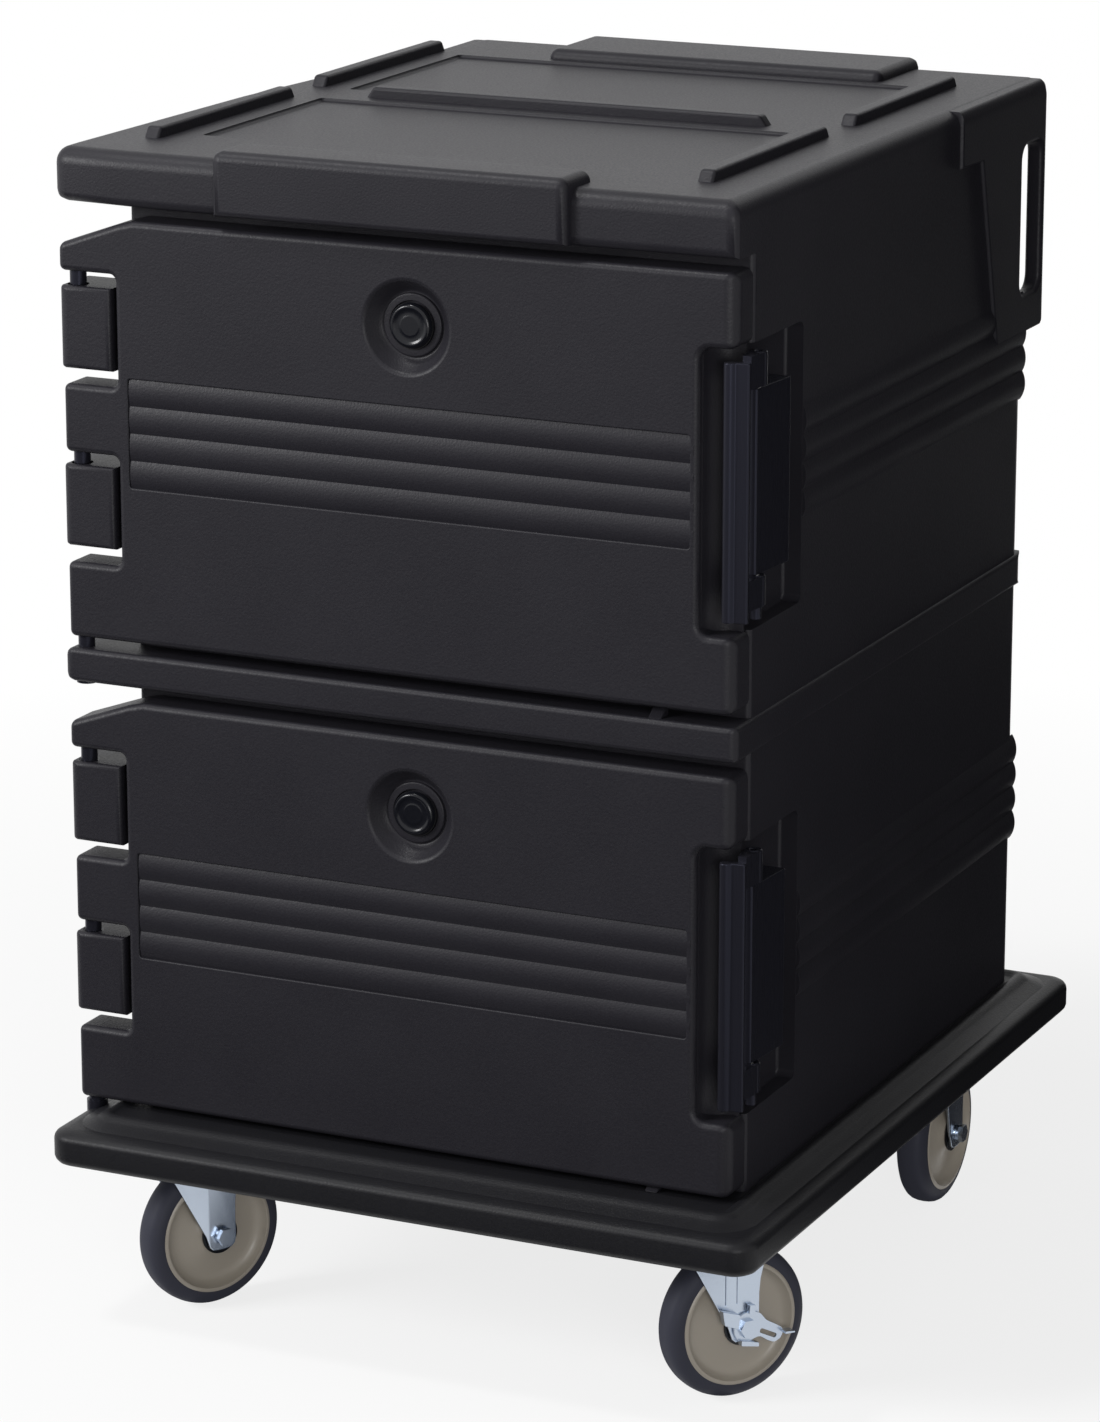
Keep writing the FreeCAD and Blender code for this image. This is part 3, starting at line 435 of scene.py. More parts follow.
def rotomoulded_polyethylene(tree, shader, deep="moulding", worn="moulding_worn"):
    """Black polyethylene from a sand-blasted mould: fine pebble that breaks up highlights, faint clouds."""
    place = add(tree, "ShaderNodeTexCoord").outputs["Object"]
    # The real pebble is about 0.7 mm; it is drawn at 2.2 mm so that it shows in the picture
    pebble = add(tree, "ShaderNodeTexNoise", {"Scale": 1 / 0.0022, "Detail": 2.0, "Roughness": 0.55},
                 {"Vector": place})
    # Clouds about 90 mm across
    clouds = add(tree, "ShaderNodeTexNoise", {"Scale": 1 / 0.09, "Detail": 3.0}, {"Vector": place})
    tone = add(tree, "ShaderNodeMix", {"data_type": "RGBA", 6: paint(getattr(colours(), deep)),
                                       7: paint(getattr(colours(), worn))}, {0: clouds.outputs[0]})
    gloss = add(tree, "ShaderNodeMapRange", {"To Min": 0.32, "To Max": 0.56}, {"Value": pebble.outputs[0]})
    bump = add(tree, "ShaderNodeBump", {"Strength": 0.4, "Distance": 0.0006}, {"Height": pebble.outputs[0]})
    settle(tree, shader, {"IOR": 1.51, "Specular IOR Level": 0.18},
           {"Base Color": tone.outputs[2], "Roughness": gloss.outputs[0], "Normal": bump.outputs[0]})


def painted_shade_polyethylene(tree, shader):
    """Polyethylene of the base: the same pebble, coloured a shade darker than the cabinet as painted shade.
    """
    rotomoulded_polyethylene(tree, shader, "base", "base_worn")


def extruded_nylon(tree, shader):
    """Blue-black nylon, drawn through a die: smooth, with a soft sheen along its length."""
    place = add(tree, "ShaderNodeTexCoord").outputs["Object"]
    # Die lines run upright and are about 1 mm apart
    lines = add(tree, "ShaderNodeMapping", {"Scale": (1.0, 1.0, 0.02)}, {"Vector": place})
    grain = add(tree, "ShaderNodeTexNoise", {"Scale": 1 / 0.001, "Detail": 2.0}, {"Vector": lines.outputs[0]})
    gloss = add(tree, "ShaderNodeMapRange", {"To Min": 0.25, "To Max": 0.31}, {"Value": grain.outputs[0]})
    bump = add(tree, "ShaderNodeBump", {"Strength": 0.02, "Distance": 0.0002}, {"Height": grain.outputs[0]})
    settle(tree, shader, {"Base Color": paint(colours().latch), "IOR": 1.53, "Specular IOR Level": 0.2,
                          "Specular Tint": paint(linear("#c9cdf0"))},
           {"Roughness": gloss.outputs[0], "Normal": bump.outputs[0]})


def gloss_plastic(tree, shader):
    """Injection-moulded ABS from a polished mould: deep black with clear highlights and handling marks."""
    # Handling marks about 3 mm apart
    patchy_gloss(tree, shader, 0.003, 5.0, 0.12, 0.3,
                 {"Base Color": paint(colours().gloss), "IOR": 1.53, "Specular IOR Level": 0.25})


def extruded_seal_rubber(tree, shader):
    """Extruded rubber: dull black with a dusty bloom."""
    # Bloom in patches of about 6 mm
    patchy_gloss(tree, shader, 0.006, 4.0, 0.6, 0.85,
                 {"Base Color": paint(colours().seal), "Specular IOR Level": 0.3})


def zinc_plate(tree, shader):
    """Bright zinc plating on pressed steel: bluish silver, slightly cloudy, with soft reflections."""
    place = add(tree, "ShaderNodeTexCoord").outputs["Object"]
    # Plating clouds of about 8 mm, over rolling marks of about 2 mm
    clouds = add(tree, "ShaderNodeTexNoise", {"Scale": 1 / 0.008, "Detail": 3.0}, {"Vector": place})
    marks = add(tree, "ShaderNodeTexNoise", {"Scale": 1 / 0.002, "Detail": 1.0}, {"Vector": place})
    gloss = add(tree, "ShaderNodeMapRange", {"To Min": 0.22, "To Max": 0.29}, {"Value": clouds.outputs[0]})
    bump = add(tree, "ShaderNodeBump", {"Strength": 0.008, "Distance": 0.0002}, {"Height": marks.outputs[0]})
    settle(tree, shader, {"Base Color": paint(colours().zinc), "Metallic": 1.0},
           {"Roughness": gloss.outputs[0], "Normal": bump.outputs[0]})


def drawn_stainless(tree, shader):
    """Drawn stainless steel: grey with fine lines along the bar."""
    place = add(tree, "ShaderNodeTexCoord").outputs["Object"]
    # Drawing lines about 0.5 mm apart
    lines = add(tree, "ShaderNodeMapping", {"Scale": (1.0, 1.0, 0.05)}, {"Vector": place})
    grain = add(tree, "ShaderNodeTexNoise", {"Scale": 1 / 0.0005, "Detail": 2.0},
                {"Vector": lines.outputs[0]})
    gloss = add(tree, "ShaderNodeMapRange", {"To Min": 0.22, "To Max": 0.4}, {"Value": grain.outputs[0]})
    settle(tree, shader, {"Base Color": paint(colours().steel), "Metallic": 1.0},
           {"Roughness": gloss.outputs[0]})


def turned_brass(tree, shader):
    """Machined brass: warm yellow with fine tool marks."""
    # Tool marks about 0.4 mm apart
    patchy_gloss(tree, shader, 0.0004, 1.0, 0.2, 0.35,
                 {"Base Color": paint(colours().brass), "Metallic": 1.0})


def charcoal_tyre_rubber(tree, shader):
    """Charcoal thermoplastic rubber: matt, with dust caught in its fine grain."""
    place = add(tree, "ShaderNodeTexCoord").outputs["Object"]
    # Grain of 0.6 mm drawn at 1.8 mm so that it shows, under dust in patches of about 20 mm
    grain = add(tree, "ShaderNodeTexNoise", {"Scale": 1 / 0.0018, "Detail": 3.0}, {"Vector": place})
    dust = add(tree, "ShaderNodeTexNoise", {"Scale": 1 / 0.02, "Detail": 4.0}, {"Vector": place})
    gloss = add(tree, "ShaderNodeMapRange", {"To Min": 0.45, "To Max": 0.65}, {"Value": dust.outputs[0]})
    bump = add(tree, "ShaderNodeBump", {"Strength": 0.1, "Distance": 0.0003}, {"Height": grain.outputs[0]})
    settle(tree, shader, {"Base Color": paint(colours().tyre), "Specular IOR Level": 0.12},
           {"Roughness": gloss.outputs[0], "Normal": bump.outputs[0]})


def waxy_polypropylene(tree, shader):
    """Injection-moulded polypropylene: warm grey, waxy, with faint flow marks."""
    # Flow marks about 12 mm wide
    patchy_gloss(tree, shader, 0.012, 3.0, 0.3, 0.45, {"Base Color": paint(colours().wheel), "IOR": 1.49})


def bearing_acetal(tree, shader):
    """Moulded acetal: pale, smooth and slightly greasy."""
    # Grease in patches of about 4 mm
    patchy_gloss(tree, shader, 0.004, 2.0, 0.2, 0.45, {"Base Color": paint(colours().bearing), "IOR": 1.48})


def rigid_foam(tree, shader):
    """Poured polyurethane foam: pale yellow and open-celled where it is cut."""
    place = add(tree, "ShaderNodeTexCoord").outputs["Object"]
    # Cells of about 1.5 mm
    cells = add(tree, "ShaderNodeTexVoronoi", {"Scale": 1 / 0.0015}, {"Vector": place})
    bump = add(tree, "ShaderNodeBump", {"Strength": 0.4, "Distance": 0.0005}, {"Height": cells.outputs[0]})
    settle(tree, shader, {"Base Color": paint(colours().foam), "Roughness": 0.9}, {"Normal": bump.outputs[0]})


FINISHES = {make.__name__: make for make in (
    rotomoulded_polyethylene, painted_shade_polyethylene, extruded_nylon, gloss_plastic, extruded_seal_rubber,
    zinc_plate, drawn_stainless, turned_brass, charcoal_tyre_rubber, waxy_polypropylene, bearing_acetal,
    rigid_foam)}

SLOT_FINISHES = {
    "black_polyethylene": "rotomoulded_polyethylene",
    "insulating_foam": "rigid_foam",
    "black_nylon": "extruded_nylon",
    "gloss_black_plastic": "gloss_plastic",
    "seal_rubber": "extruded_seal_rubber",
    "stainless_steel": "drawn_stainless",
    "zinc_plated_steel": "zinc_plate",
    "brass": "turned_brass",
    "tyre_rubber": "charcoal_tyre_rubber",
    "grey_polypropylene": "waxy_polypropylene",
    "bearing_plastic": "bearing_acetal",
    "thread_guard_plastic": "gloss_plastic",
}


def material(name):
    """Material of one finish, made when it is first needed."""
    made = bpy.data.materials.get(name)
    if made is None:
        made = bpy.data.materials.new(name)
        made.use_nodes = True
        FINISHES[name](made.node_tree, made.node_tree.nodes["Principled BSDF"])
    return made


# The cabinet

def rib_levels(level):
    """Centre heights of the four ribs beside one door."""
    return [level + RIB_BASE + sizes().rib_pitch * index for index in range(4)]


def hand_slot_levels():
    """Lower and upper end of the hand slots in the rear corners."""
    return sizes().top_level - 0.225, sizes().top_level - 0.064


def cabinet_walls():
    """Outer walls with both lined compartments, the latch pockets and the hand space at the rear corners."""
    size = sizes()
    half, front, rear = size.half_body, -size.body_front, size.body_rear
    bottom, top = size.base_bottom + 0.033, size.rim_bottom
    walls = block("cabinet_walls", (-half, half), (front, rear), (bottom, top))
    soften(walls, [(size.body_corner, lambda edge: upright(edge) and place_of(edge).y > 0),
                   (0.006, upright)], 6)
    for level in door_levels():
        low, high = level + size.door_margin, level + size.door_height - size.door_margin
        hollow = block("hollow", (-size.inner_half, size.inner_half), (front - PAST, size.compartment_rear),
                       (low, high))
        soften(hollow, [(0.018, lambda edge: place_of(edge).y > front)], 5)
        cut(walls, hollow)
    soften(walls, [(0.006, lambda edge: lies_at(edge, FRONT_TO_BACK, front) and is_sharp(edge)
                    and abs(place_of(edge).x) < size.inner_half + 0.001
                    and bottom + 0.005 < place_of(edge).z < top - 0.005)], 3)
    for level in door_levels():
        pocket = block("pocket", (half - POCKET_DEPTH, half + PAST), (front - PAST, front + 0.124),
                       (level + NOTCH_LOW, level + NOTCH_HIGH))
        soften(pocket, [(0.008, lambda edge: crosswise(edge) and place_of(edge).y > front),
                        (0.004, lambda edge: place_of(edge).x < half)], 4)
        cut(walls, pocket)
    low, high = hand_slot_levels()
    for side in (-1, 1):
        reach = sorted((side * (half - 0.0745), side * (half + 0.01)))
        hand = block("hand_space", reach, (rear - HAND_DEPTH, rear + PAST), (low, high))
        soften(hand, [(0.012, lambda edge: place_of(edge).y < rear)], 4)
        cut(walls, hand)
    return walls


def side_ribs():
    """Half-round ribs along both side walls."""
    size = sizes()
    radius = arc_radius(size.rib_pitch / 2, size.rib_rise)
    start, end = -size.body_front + 0.126, size.body_rear - 0.010
    lowest = rib_levels(size.lower_door)[0]
    made = []
    for side in (-1, 1):
        centre = side * (size.half_body + size.rib_rise - radius)
        face = side * (size.half_body - 0.002)
        first = rounded_bar("side_rib", (centre, start, lowest), FRONT_TO_BACK, end - start, radius,
                            (side, 0, 0), (face, 0, 0))
        soften(first, [(0.0025, lambda edge: is_sharp(edge, 60)
                        and abs(place_of(edge).x) > size.half_body)], 3)
        made.append(first)
        for level in door_levels():
            for height in rib_levels(level):
                if height > lowest + 0.001:
                    made.append(copied(first, "side_rib", (0, 0, height - lowest)))
    return gather("side_ribs", made)


def pan_rails():
    """Moulded rails that carry the food pans, five pairs in each compartment."""
    size = sizes()
    inner = size.inner_half
    low = size.lower_door + size.door_margin + 0.050
    pitch = (size.door_height - 2 * size.door_margin - 0.100) / 4
    made = []
    for side in (-1, 1):
        outline = [(side * (inner - 0.025), low + 0.006), (side * (inner - 0.025), low + 0.012),
                   (side * (inner + 0.002), low + 0.012), (side * (inner + 0.002), low - 0.006)]
        rail = prism("pan_rail", outline, FRONT_TO_BACK, -size.body_front + 0.060,
                     size.compartment_rear + 0.002)
        soften(rail, [(0.0022, lambda edge: abs(place_of(edge).x) < inner)], 3)
        made.append(rail)
        for step in (0.0, size.door_pitch):
            for index in range(5):
                rise = step + index * pitch
                if rise > 0.001:
                    made.append(copied(rail, "pan_rail", (0, 0, rise)))
    return gather("moulded_rails", made)


def push_handles():
    """Handle wings at both rear corners, each with a round grip bar behind its hand slot."""
    size = sizes()
    rear, end, top = size.body_rear, size.rim_rear - 0.0005, size.top_level - 0.0006
    bottom = size.top_level - 0.267
    low, high = hand_slot_levels()
    grip = 0.0165
    made = []
    for side in (-1, 1):
        inner, outer = side * (size.half_body - 0.0145), side * (size.half_body + 0.004)
        outline = [(rear - 0.100, bottom), (end, bottom), (end, top), (rear - 0.213, top),
                   (rear - 0.213, top - 0.0594), (rear - 0.153, top - 0.0614)]
        wing = prism("push_handle", outline, LEFT_TO_RIGHT, inner, outer)
        soften(wing, [(grip, lambda edge: lies_at(edge, LEFT_TO_RIGHT, outer)
                       and (lies_at(edge, UPRIGHT, top) or lies_at(edge, FRONT_TO_BACK, end))),
                      (grip, lambda edge: lies_at(edge, FRONT_TO_BACK, end) and crosswise(edge)),
                      (0.0035, lambda edge: lies_at(edge, LEFT_TO_RIGHT, outer))], 8)
        slot = block("hand_slot", sorted((inner - side * 0.01, outer + side * 0.01)),
                     (rear - HAND_DEPTH, end - 0.0215), (low, high))
        soften(slot, [(0.016, crosswise)], 8)
        cut(wing, slot)
        soften(wing, [(0.0048, lambda edge: is_sharp(edge, 60) and not crosswise(edge)
                       and rear - 0.034 < place_of(edge).y < end - 0.021
                       and low - 0.001 < place_of(edge).z < high + 0.001)], 5)
        made.append(wing)
    return gather("handle_wings", made)


def top_slab():
    """Rim and top plate with an overhang on the hinge side, widest at the front, and two recessed panels."""
    size = sizes()
    half, front, rear = size.half_body, -size.door_front, size.rim_rear
    top, low = size.top_level, size.rim_bottom
    ear = -half - 0.0680
    outline = [(ear, front + 0.006), (-half + 0.006, front), (half, front), (half, rear), (-half, rear),
               (-half, rear - 0.110), (-half - 0.0295, rear - 0.220), (-half - 0.0555, rear - 0.480),
               (ear, front + 0.040)]
    slab = prism("top_plate", outline, UPRIGHT, low, top)
    # The rim runs flush into the side walls, so its lower edge is rounded only where it overhangs
    soften(slab, [(0.017, lambda edge: lies_at(edge, UPRIGHT, top)),
                  (0.012, lambda edge: upright(edge) and is_sharp(edge, 30) and place_of(edge).y < 0
                   and place_of(edge).x > 0),
                  (0.017, lambda edge: upright(edge) and is_sharp(edge, 30)),
                  (0.015, lambda edge: lies_at(edge, UPRIGHT, low) and place_of(edge).x < -half - 0.03),
                  (0.006, lambda edge: lies_at(edge, UPRIGHT, low)
                   and abs(abs(place_of(edge).x) - half) > 1e-4)], 7)
    middle = (front + rear) / 2 + TOP_SHIFT
    sunk = top - 0.0035
    for start, end in ((front + 0.128, middle - TOP_GAP), (middle + TOP_GAP, rear - 0.128)):
        panel = block("panel", (-half + 0.0365, half - 0.1085), (start, end), (sunk, top + 0.010))
        soften(panel, [(0.004, upright), (0.0034, lambda edge: lies_at(edge, UPRIGHT, sunk))], 3)
        cut(slab, panel)
    return slab


def top_pads():
    """Raised pads that wrap over the front and rear edges of the top."""
    size = sizes()
    low, high = size.rim_bottom + 0.001, size.top_level + size.pad_rise
    front, rear = -size.door_front, size.rim_rear
    made = []
    for x, y, outside in (((-0.216, 0.165), (front - 0.012, front + 0.053), front - 0.012),
                          ((-0.200, 0.190), (rear - 0.115, rear + 0.003), rear + 0.003)):
        pad = block("top_pad", x, y, (low, high))
        soften(pad, [(0.0105, lambda edge: lies_at(edge, UPRIGHT, high) or upright(edge)),
                     (0.007, lambda edge: lies_at(edge, UPRIGHT, low)
                      and lies_at(edge, FRONT_TO_BACK, outside))], 6)
        made.append(pad)
    return gather("top_pads", made)


def top_ribs():
    """Bars on the top that keep stacked loads in place, with sloping ends."""
    size = sizes()
    half, front, rear = size.half_body, -size.door_front, size.rim_rear
    low, high = size.top_level - 0.004, size.top_level + size.pad_rise
    middle, wide, slope = (front + rear) / 2 + TOP_SHIFT, 0.0085, 0.010
    spans = ((front + 0.088, middle - TOP_GAP), (middle + TOP_GAP, rear - 0.100))
    bars = [(start, end, LEFT_TO_RIGHT, place)
            for place in (-half - 0.001, half - 0.0725) for start, end in spans]
    bars.append((-half + 0.0745, half - 0.1415, FRONT_TO_BACK, middle))
    made = []
    for start, end, across, place in bars:
        outline = [(start, low), (start + slope, high), (end - slope, high), (end, low)]
        rib = prism("top_rib", outline, across, place - wide, place + wide)
        made.append(soften(rib, [(0.0035, lambda edge: place_of(edge).z > low + 0.001)], 4))
    return gather("top_ribs", made)


def middle_band():
    """Band between the doors that runs out into the hinge ear of the upper door."""
    size = sizes()
    reach, ear, front = size.half_body + 0.0035, -size.hinge_reach - 0.018, -size.door_front
    rear, top = size.body_rear + 0.0035, size.lower_door + size.door_pitch - BAND_DROP
    back = front + 0.062
    outline = [(ear, front), (reach, front), (reach, rear), (-reach, rear), (-reach, back), (ear, back)]
    band = prism("door_band", outline, UPRIGHT, top - 0.035, top)
    return soften(band, [(0.026, lambda edge: upright(edge) and place_of(edge).y > 0),
                         (0.011, lambda edge: lies_at(edge, LEFT_TO_RIGHT, ear)),
                         (0.010, lambda edge: upright(edge) and place_of(edge).x > 0),
                         (0.0055, lambda edge: is_sharp(edge, 60) and not upright(edge))], 5)


def rest_nubs():
    """Small ramps under the free edges of the doors."""
    size = sizes()
    front = -size.door_front
    made = []
    for level in (size.lower_door + size.door_pitch - BAND_DROP, size.lower_door - 0.003):
        outline = [(front + 0.002, level - 0.002), (front + 0.024, level - 0.002),
                   (front + 0.024, level + 0.010), (front + 0.020, level + 0.010)]
        made.append(soften(prism("rest_nub", outline, LEFT_TO_RIGHT, 0.245, 0.259), [(0.0015, any_edge)], 2))
    return gather("rest_nubs", made)


def inset_steps(piece, direction, steps):
    """Shape the faces that point up or down by a chain of insets, each (inward, outward)."""
    take(piece)
    bpy.ops.object.mode_set(mode="EDIT")
    bpy.ops.mesh.select_mode(type="FACE")
    bpy.ops.mesh.select_all(action="DESELECT")
    mesh = bmesh.from_edit_mesh(piece.data)
    for face in mesh.faces:
        face.select_set(face.normal.z * direction > 0.99)
    bmesh.update_edit_mesh(piece.data)
    for inward, outward in steps:
        bpy.ops.mesh.inset(thickness=inward, depth=outward)
    bpy.ops.object.mode_set(mode="OBJECT")


def base_tray():
    """Base with a flat-faced bumper all round and a raised bead on a gentle slope inside it."""
    size = sizes()
    width, depth, floor = size.base_half_width, size.base_half_depth, size.base_bottom
    tray = block("bumper_base", (-width, width), (-depth, depth), (floor + 0.009, floor + 0.027))
    soften(tray, [(0.026, upright)], 10)
    inset_steps(tray, 1, [(0.0008, 0.0032), (0.0020, 0.0028), (0.0035, 0.0020), (0.0050, 0.0014),
                          (0.0065, 0.0014)])
    inset_steps(tray, -1, [(0.0012, 0.0035), (0.0028, 0.0033), (0.0045, 0.0022)])
    width, depth = width - 0.0165, depth - 0.0185
    bead = block("bumper_bead", (-width, width), (-depth, depth), (floor + 0.027, floor + 0.0376))
    soften(bead, [(0.040, upright)], 10)
    inset_steps(bead, 1, [(0.0080, 0.0028), (0.0070, 0.0022), (0.0035, 0.0020), (0.0035, 0.0022),
                          (0.0035, 0.0014), (0.0035, 0.0002), (0.0035, -0.0014), (0.0030, -0.0024)])
    return gather("bumper_base", [tray, bead])


def cabinet_knuckles():
    """Hinge knuckles on the cabinet's front left corner."""
    size = sizes()
    made = []
    for start in (size.lower_door + 0.094, size.lower_door + 0.276):
        knuckle = block("cabinet_knuckle", (-size.hinge_reach - 0.0160, -size.half_body - 0.002),
                        (-0.384, -0.324), (start, start + 0.084))
        soften(knuckle, [(0.011, lambda edge: upright(edge) and place_of(edge).x < -0.37),
                         (0.006, lambda edge: upright(edge) and place_of(edge).y < -0.35),
                         (0.005, lambda edge: not upright(edge) and place_of(edge).x < -0.339)], 6)
        root = block("knuckle_root", (-size.half_body - 0.004, -size.half_body + 0.004), (-0.343, -0.326),
                     (start + 0.003, start + 0.081))
        made += [knuckle, root]
    made += [copied(piece, "cabinet_knuckle", (0, 0, size.door_pitch)) for piece in list(made)]
    return gather("wall_knuckles", made)


# The doors

def door_outline(level):
    """Front view of one door with its three hinge tabs and the latch notch."""
    size = sizes()
    left, right, tip = -size.half_body + DOOR_INSET, size.half_body, -size.hinge_reach - 0.0110
    top, notch = level + size.door_height, right - NOTCH_WIDTH
    return [(tip, level), (right, level), (right, level + NOTCH_LOW), (notch, level + NOTCH_LOW),
            (notch, level + NOTCH_HIGH), (right, level + NOTCH_HIGH), (right, top), (left + 0.021, top),
            (left + 0.004, top - 0.0040), (tip - 0.0025, level + 0.402), (tip - 0.0025, level + 0.375),
            (left, level + 0.375), (left, level + 0.261), (tip, level + 0.261), (tip, level + 0.191),
            (left, level + 0.191), (left, level + 0.078), (tip, level + 0.078)]


def door_slab(level):
    """Outer slab of one door, with the corners of its tabs and notch rounded."""
    size = sizes()
    front, back = -size.door_front, -size.door_back
    left, right = -size.half_body + DOOR_INSET, size.half_body
    notch = right - NOTCH_WIDTH
    door = prism("door_panel", door_outline(level), FRONT_TO_BACK, front, back)
    soften(door, [(0.012, lambda edge: lengthwise(edge) and abs(place_of(edge).x - notch) < 0.001),
                  (0.0075, lambda edge: lengthwise(edge) and abs(place_of(edge).x - left) < 0.001)], 6)
    soften(door, [(0.014, lambda edge: upright(edge) and lies_at(edge, LEFT_TO_RIGHT, right)
                   and lies_at(edge, FRONT_TO_BACK, front)),
                  (0.009, lambda edge: lengthwise(edge) and is_sharp(edge) and place_of(edge).x > 0),
                  (0.0065, lambda edge: is_sharp(edge)
                   and (lengthwise(edge) or lies_at(edge, FRONT_TO_BACK, front)))], 6)
    return soften(door, [(0.003, lambda edge: is_sharp(edge, 50) and lies_at(edge, FRONT_TO_BACK, back)
                          and place_of(edge).x < left - 0.008)], 3)


def vent_recess(door, level):
    """Cut the round vent dish into a door, and return the collar at its bottom."""
    front, vent = -sizes().door_front, level + sizes().door_height - VENT_DROP
    dish = ((-0.010, DISH_RADIUS), (-0.0002, DISH_RADIUS), (0.004, 0.0440), (0.009, 0.0405), (0.013, 0.0374),
            (0.0158, 0.0346), (0.017, 0.0325))
    collar = ((0.0185, 0.0318), (0.0155, 0.0317), (0.0144, 0.0310), (0.0140, 0.0298), (0.0140, 0.0246),
              (0.0146, 0.0240), (0.0185, 0.0238))

    def on_lip(edge):
        """Whether an edge lies where the dish meets the door's face."""
        x, y, z = place_of(edge)
        off_lip = math.hypot(x - VENT_PLACE, z - vent) - DISH_RADIUS
        return is_sharp(edge, 25) and abs(y - front) < 0.001 and abs(off_lip) < 0.001

    bowl = turned("vent_dish", [(front + along, wide) for along, wide in dish], 112)
    cut(door, set_along_depth(bowl, vent))
    soften(door, [(0.0032, on_lip)], 5)
    ring = turned("vent_collar", [(front + along, wide) for along, wide in collar], 112, ring=True)
    return set_along_depth(ring, vent)


def ribbed_panel(door, level):
    """Sink a shallow panel into a door, and return ribs whose crests are level with the door's face."""
    size = sizes()
    front, half = -size.door_front, size.rib_pitch / 2
    start, end = -size.half_body + DOOR_INSET + 0.013, size.half_body - NOTCH_WIDTH - 0.0085
    floor, crest = front + 0.0024, front - 0.0001
    low, high = rib_levels(level)[0] - half, rib_levels(level)[-1] + half
    sunk = block("rib_panel", (start, end), (front - 0.010, floor), (low, high))
    soften(sunk, [(0.003, lengthwise)], 3)
    cut(door, sunk)
    soften(door, [(0.0014, lambda edge: is_sharp(edge) and lies_at(edge, FRONT_TO_BACK, front)
                   and start - 0.001 < place_of(edge).x < end + 0.001
                   and low - 0.001 < place_of(edge).z < high + 0.001)], 3)
    radius = arc_radius(half, floor - crest)
    ribs = []
    for height in rib_levels(level):
        rib = rounded_bar("door_rib", (start + 0.001, crest + radius, height), LEFT_TO_RIGHT,
                          end - start + 0.003, radius, (0, -1, 0), (0, floor + 0.001, 0))
        ribs.append(soften(rib, [(0.0025, lambda edge: is_sharp(edge, 60) and place_of(edge).y < floor)], 3))
    return ribs


def scoop_floor(level):
    """Floor behind a latch handle, into which the scoop's left side sweeps round."""
    front, back, notch = -sizes().door_front, -sizes().door_back, sizes().half_body - NOTCH_WIDTH
    sweep = [(notch - 0.0005, front + 0.0085), (notch - 0.0005, back), (notch + 0.0330, back),
             (notch + 0.0330, back - 0.003)]
    radius = 0.0275
    for index in range(9):
        angle = math.radians(90 + 11.25 * index)
        sweep.append((notch + 0.029 + radius * math.cos(angle), back - 0.0305 + radius * math.sin(angle)))
    return prism("scoop_floor", sweep, UPRIGHT, level + NOTCH_LOW - 0.0005, level + NOTCH_HIGH + 0.0005)


def door_plug(level):
    """Plug on a door's back that fits into its compartment."""
    size = sizes()
    half, back = size.inner_half - 0.005, -size.door_back
    bottom, top = level + size.door_margin + 0.005, level + size.door_height - size.door_margin - 0.005
    plug = block("door_plug", (-half, half), (back - 0.002, -size.body_front + 0.030), (bottom, top))
    return soften(plug, [(0.012, lambda edge: lengthwise(edge) or place_of(edge).y > -size.body_front)], 4)


def door_panel(level):
    """One door: moulded slab with its latch scoop, ribbed panel, vent dish and plug."""
    door = door_slab(level)
    collar = vent_recess(door, level)
    ribs = ribbed_panel(door, level)
    return gather("door_panel", [door, collar, scoop_floor(level), door_plug(level)] + ribs)


def set_along_depth(piece, height):
    """Turn a piece made along X to run from front to back on the vent's axis."""
    piece.rotation_euler = (0, 0, math.pi / 2)
    piece.location = (VENT_PLACE, 0, height)
    return fix_place(piece)


def vent_cap(level):
    """Round vent cap with a bright raised rim round a sunk face, on a hollow stem."""
    face, vent = -sizes().door_front + 0.007, level + sizes().door_height - VENT_DROP
    rings = [(0.0055, 0.0222), (0.0050, 0.0228), (0.0036, 0.0226), (0.0014, 0.0212), (0.0004, 0.0202),
             (0.0, 0.0190), (0.0001, 0.0176), (0.0008, 0.0164), (0.0013, 0.0150), (0.0013, 0.0112),
             (0.0009, 0.0102), (0.0008, 0.0092)]
    cap = set_along_depth(turned("vent_cap", [(face + along, wide) for along, wide in rings], 80), vent)
    stem = turned("vent_stem", [(face + 0.0050, 0.0099), (face + 0.0205, 0.0099),
                                (face + 0.0215, 0.0090)], 48)
    return gather("vent_cap", [cap, set_along_depth(stem, vent)])


# The latches

def lies_in_bore(edge, x, y):
    """Whether an edge lies on the wall of the latch pin's hole."""
    return all(math.hypot(corner.co.x - x, corner.co.y - y) < 0.0040 for corner in edge.verts)


def stand_on_pin(piece):
    """Turn a piece made along X to stand upright on the latch pin's axis."""
    piece.rotation_euler = (0, -math.pi / 2, 0)
    piece.location = (sizes().latch_reach, -sizes().latch_front, 0)
    return fix_place(piece)


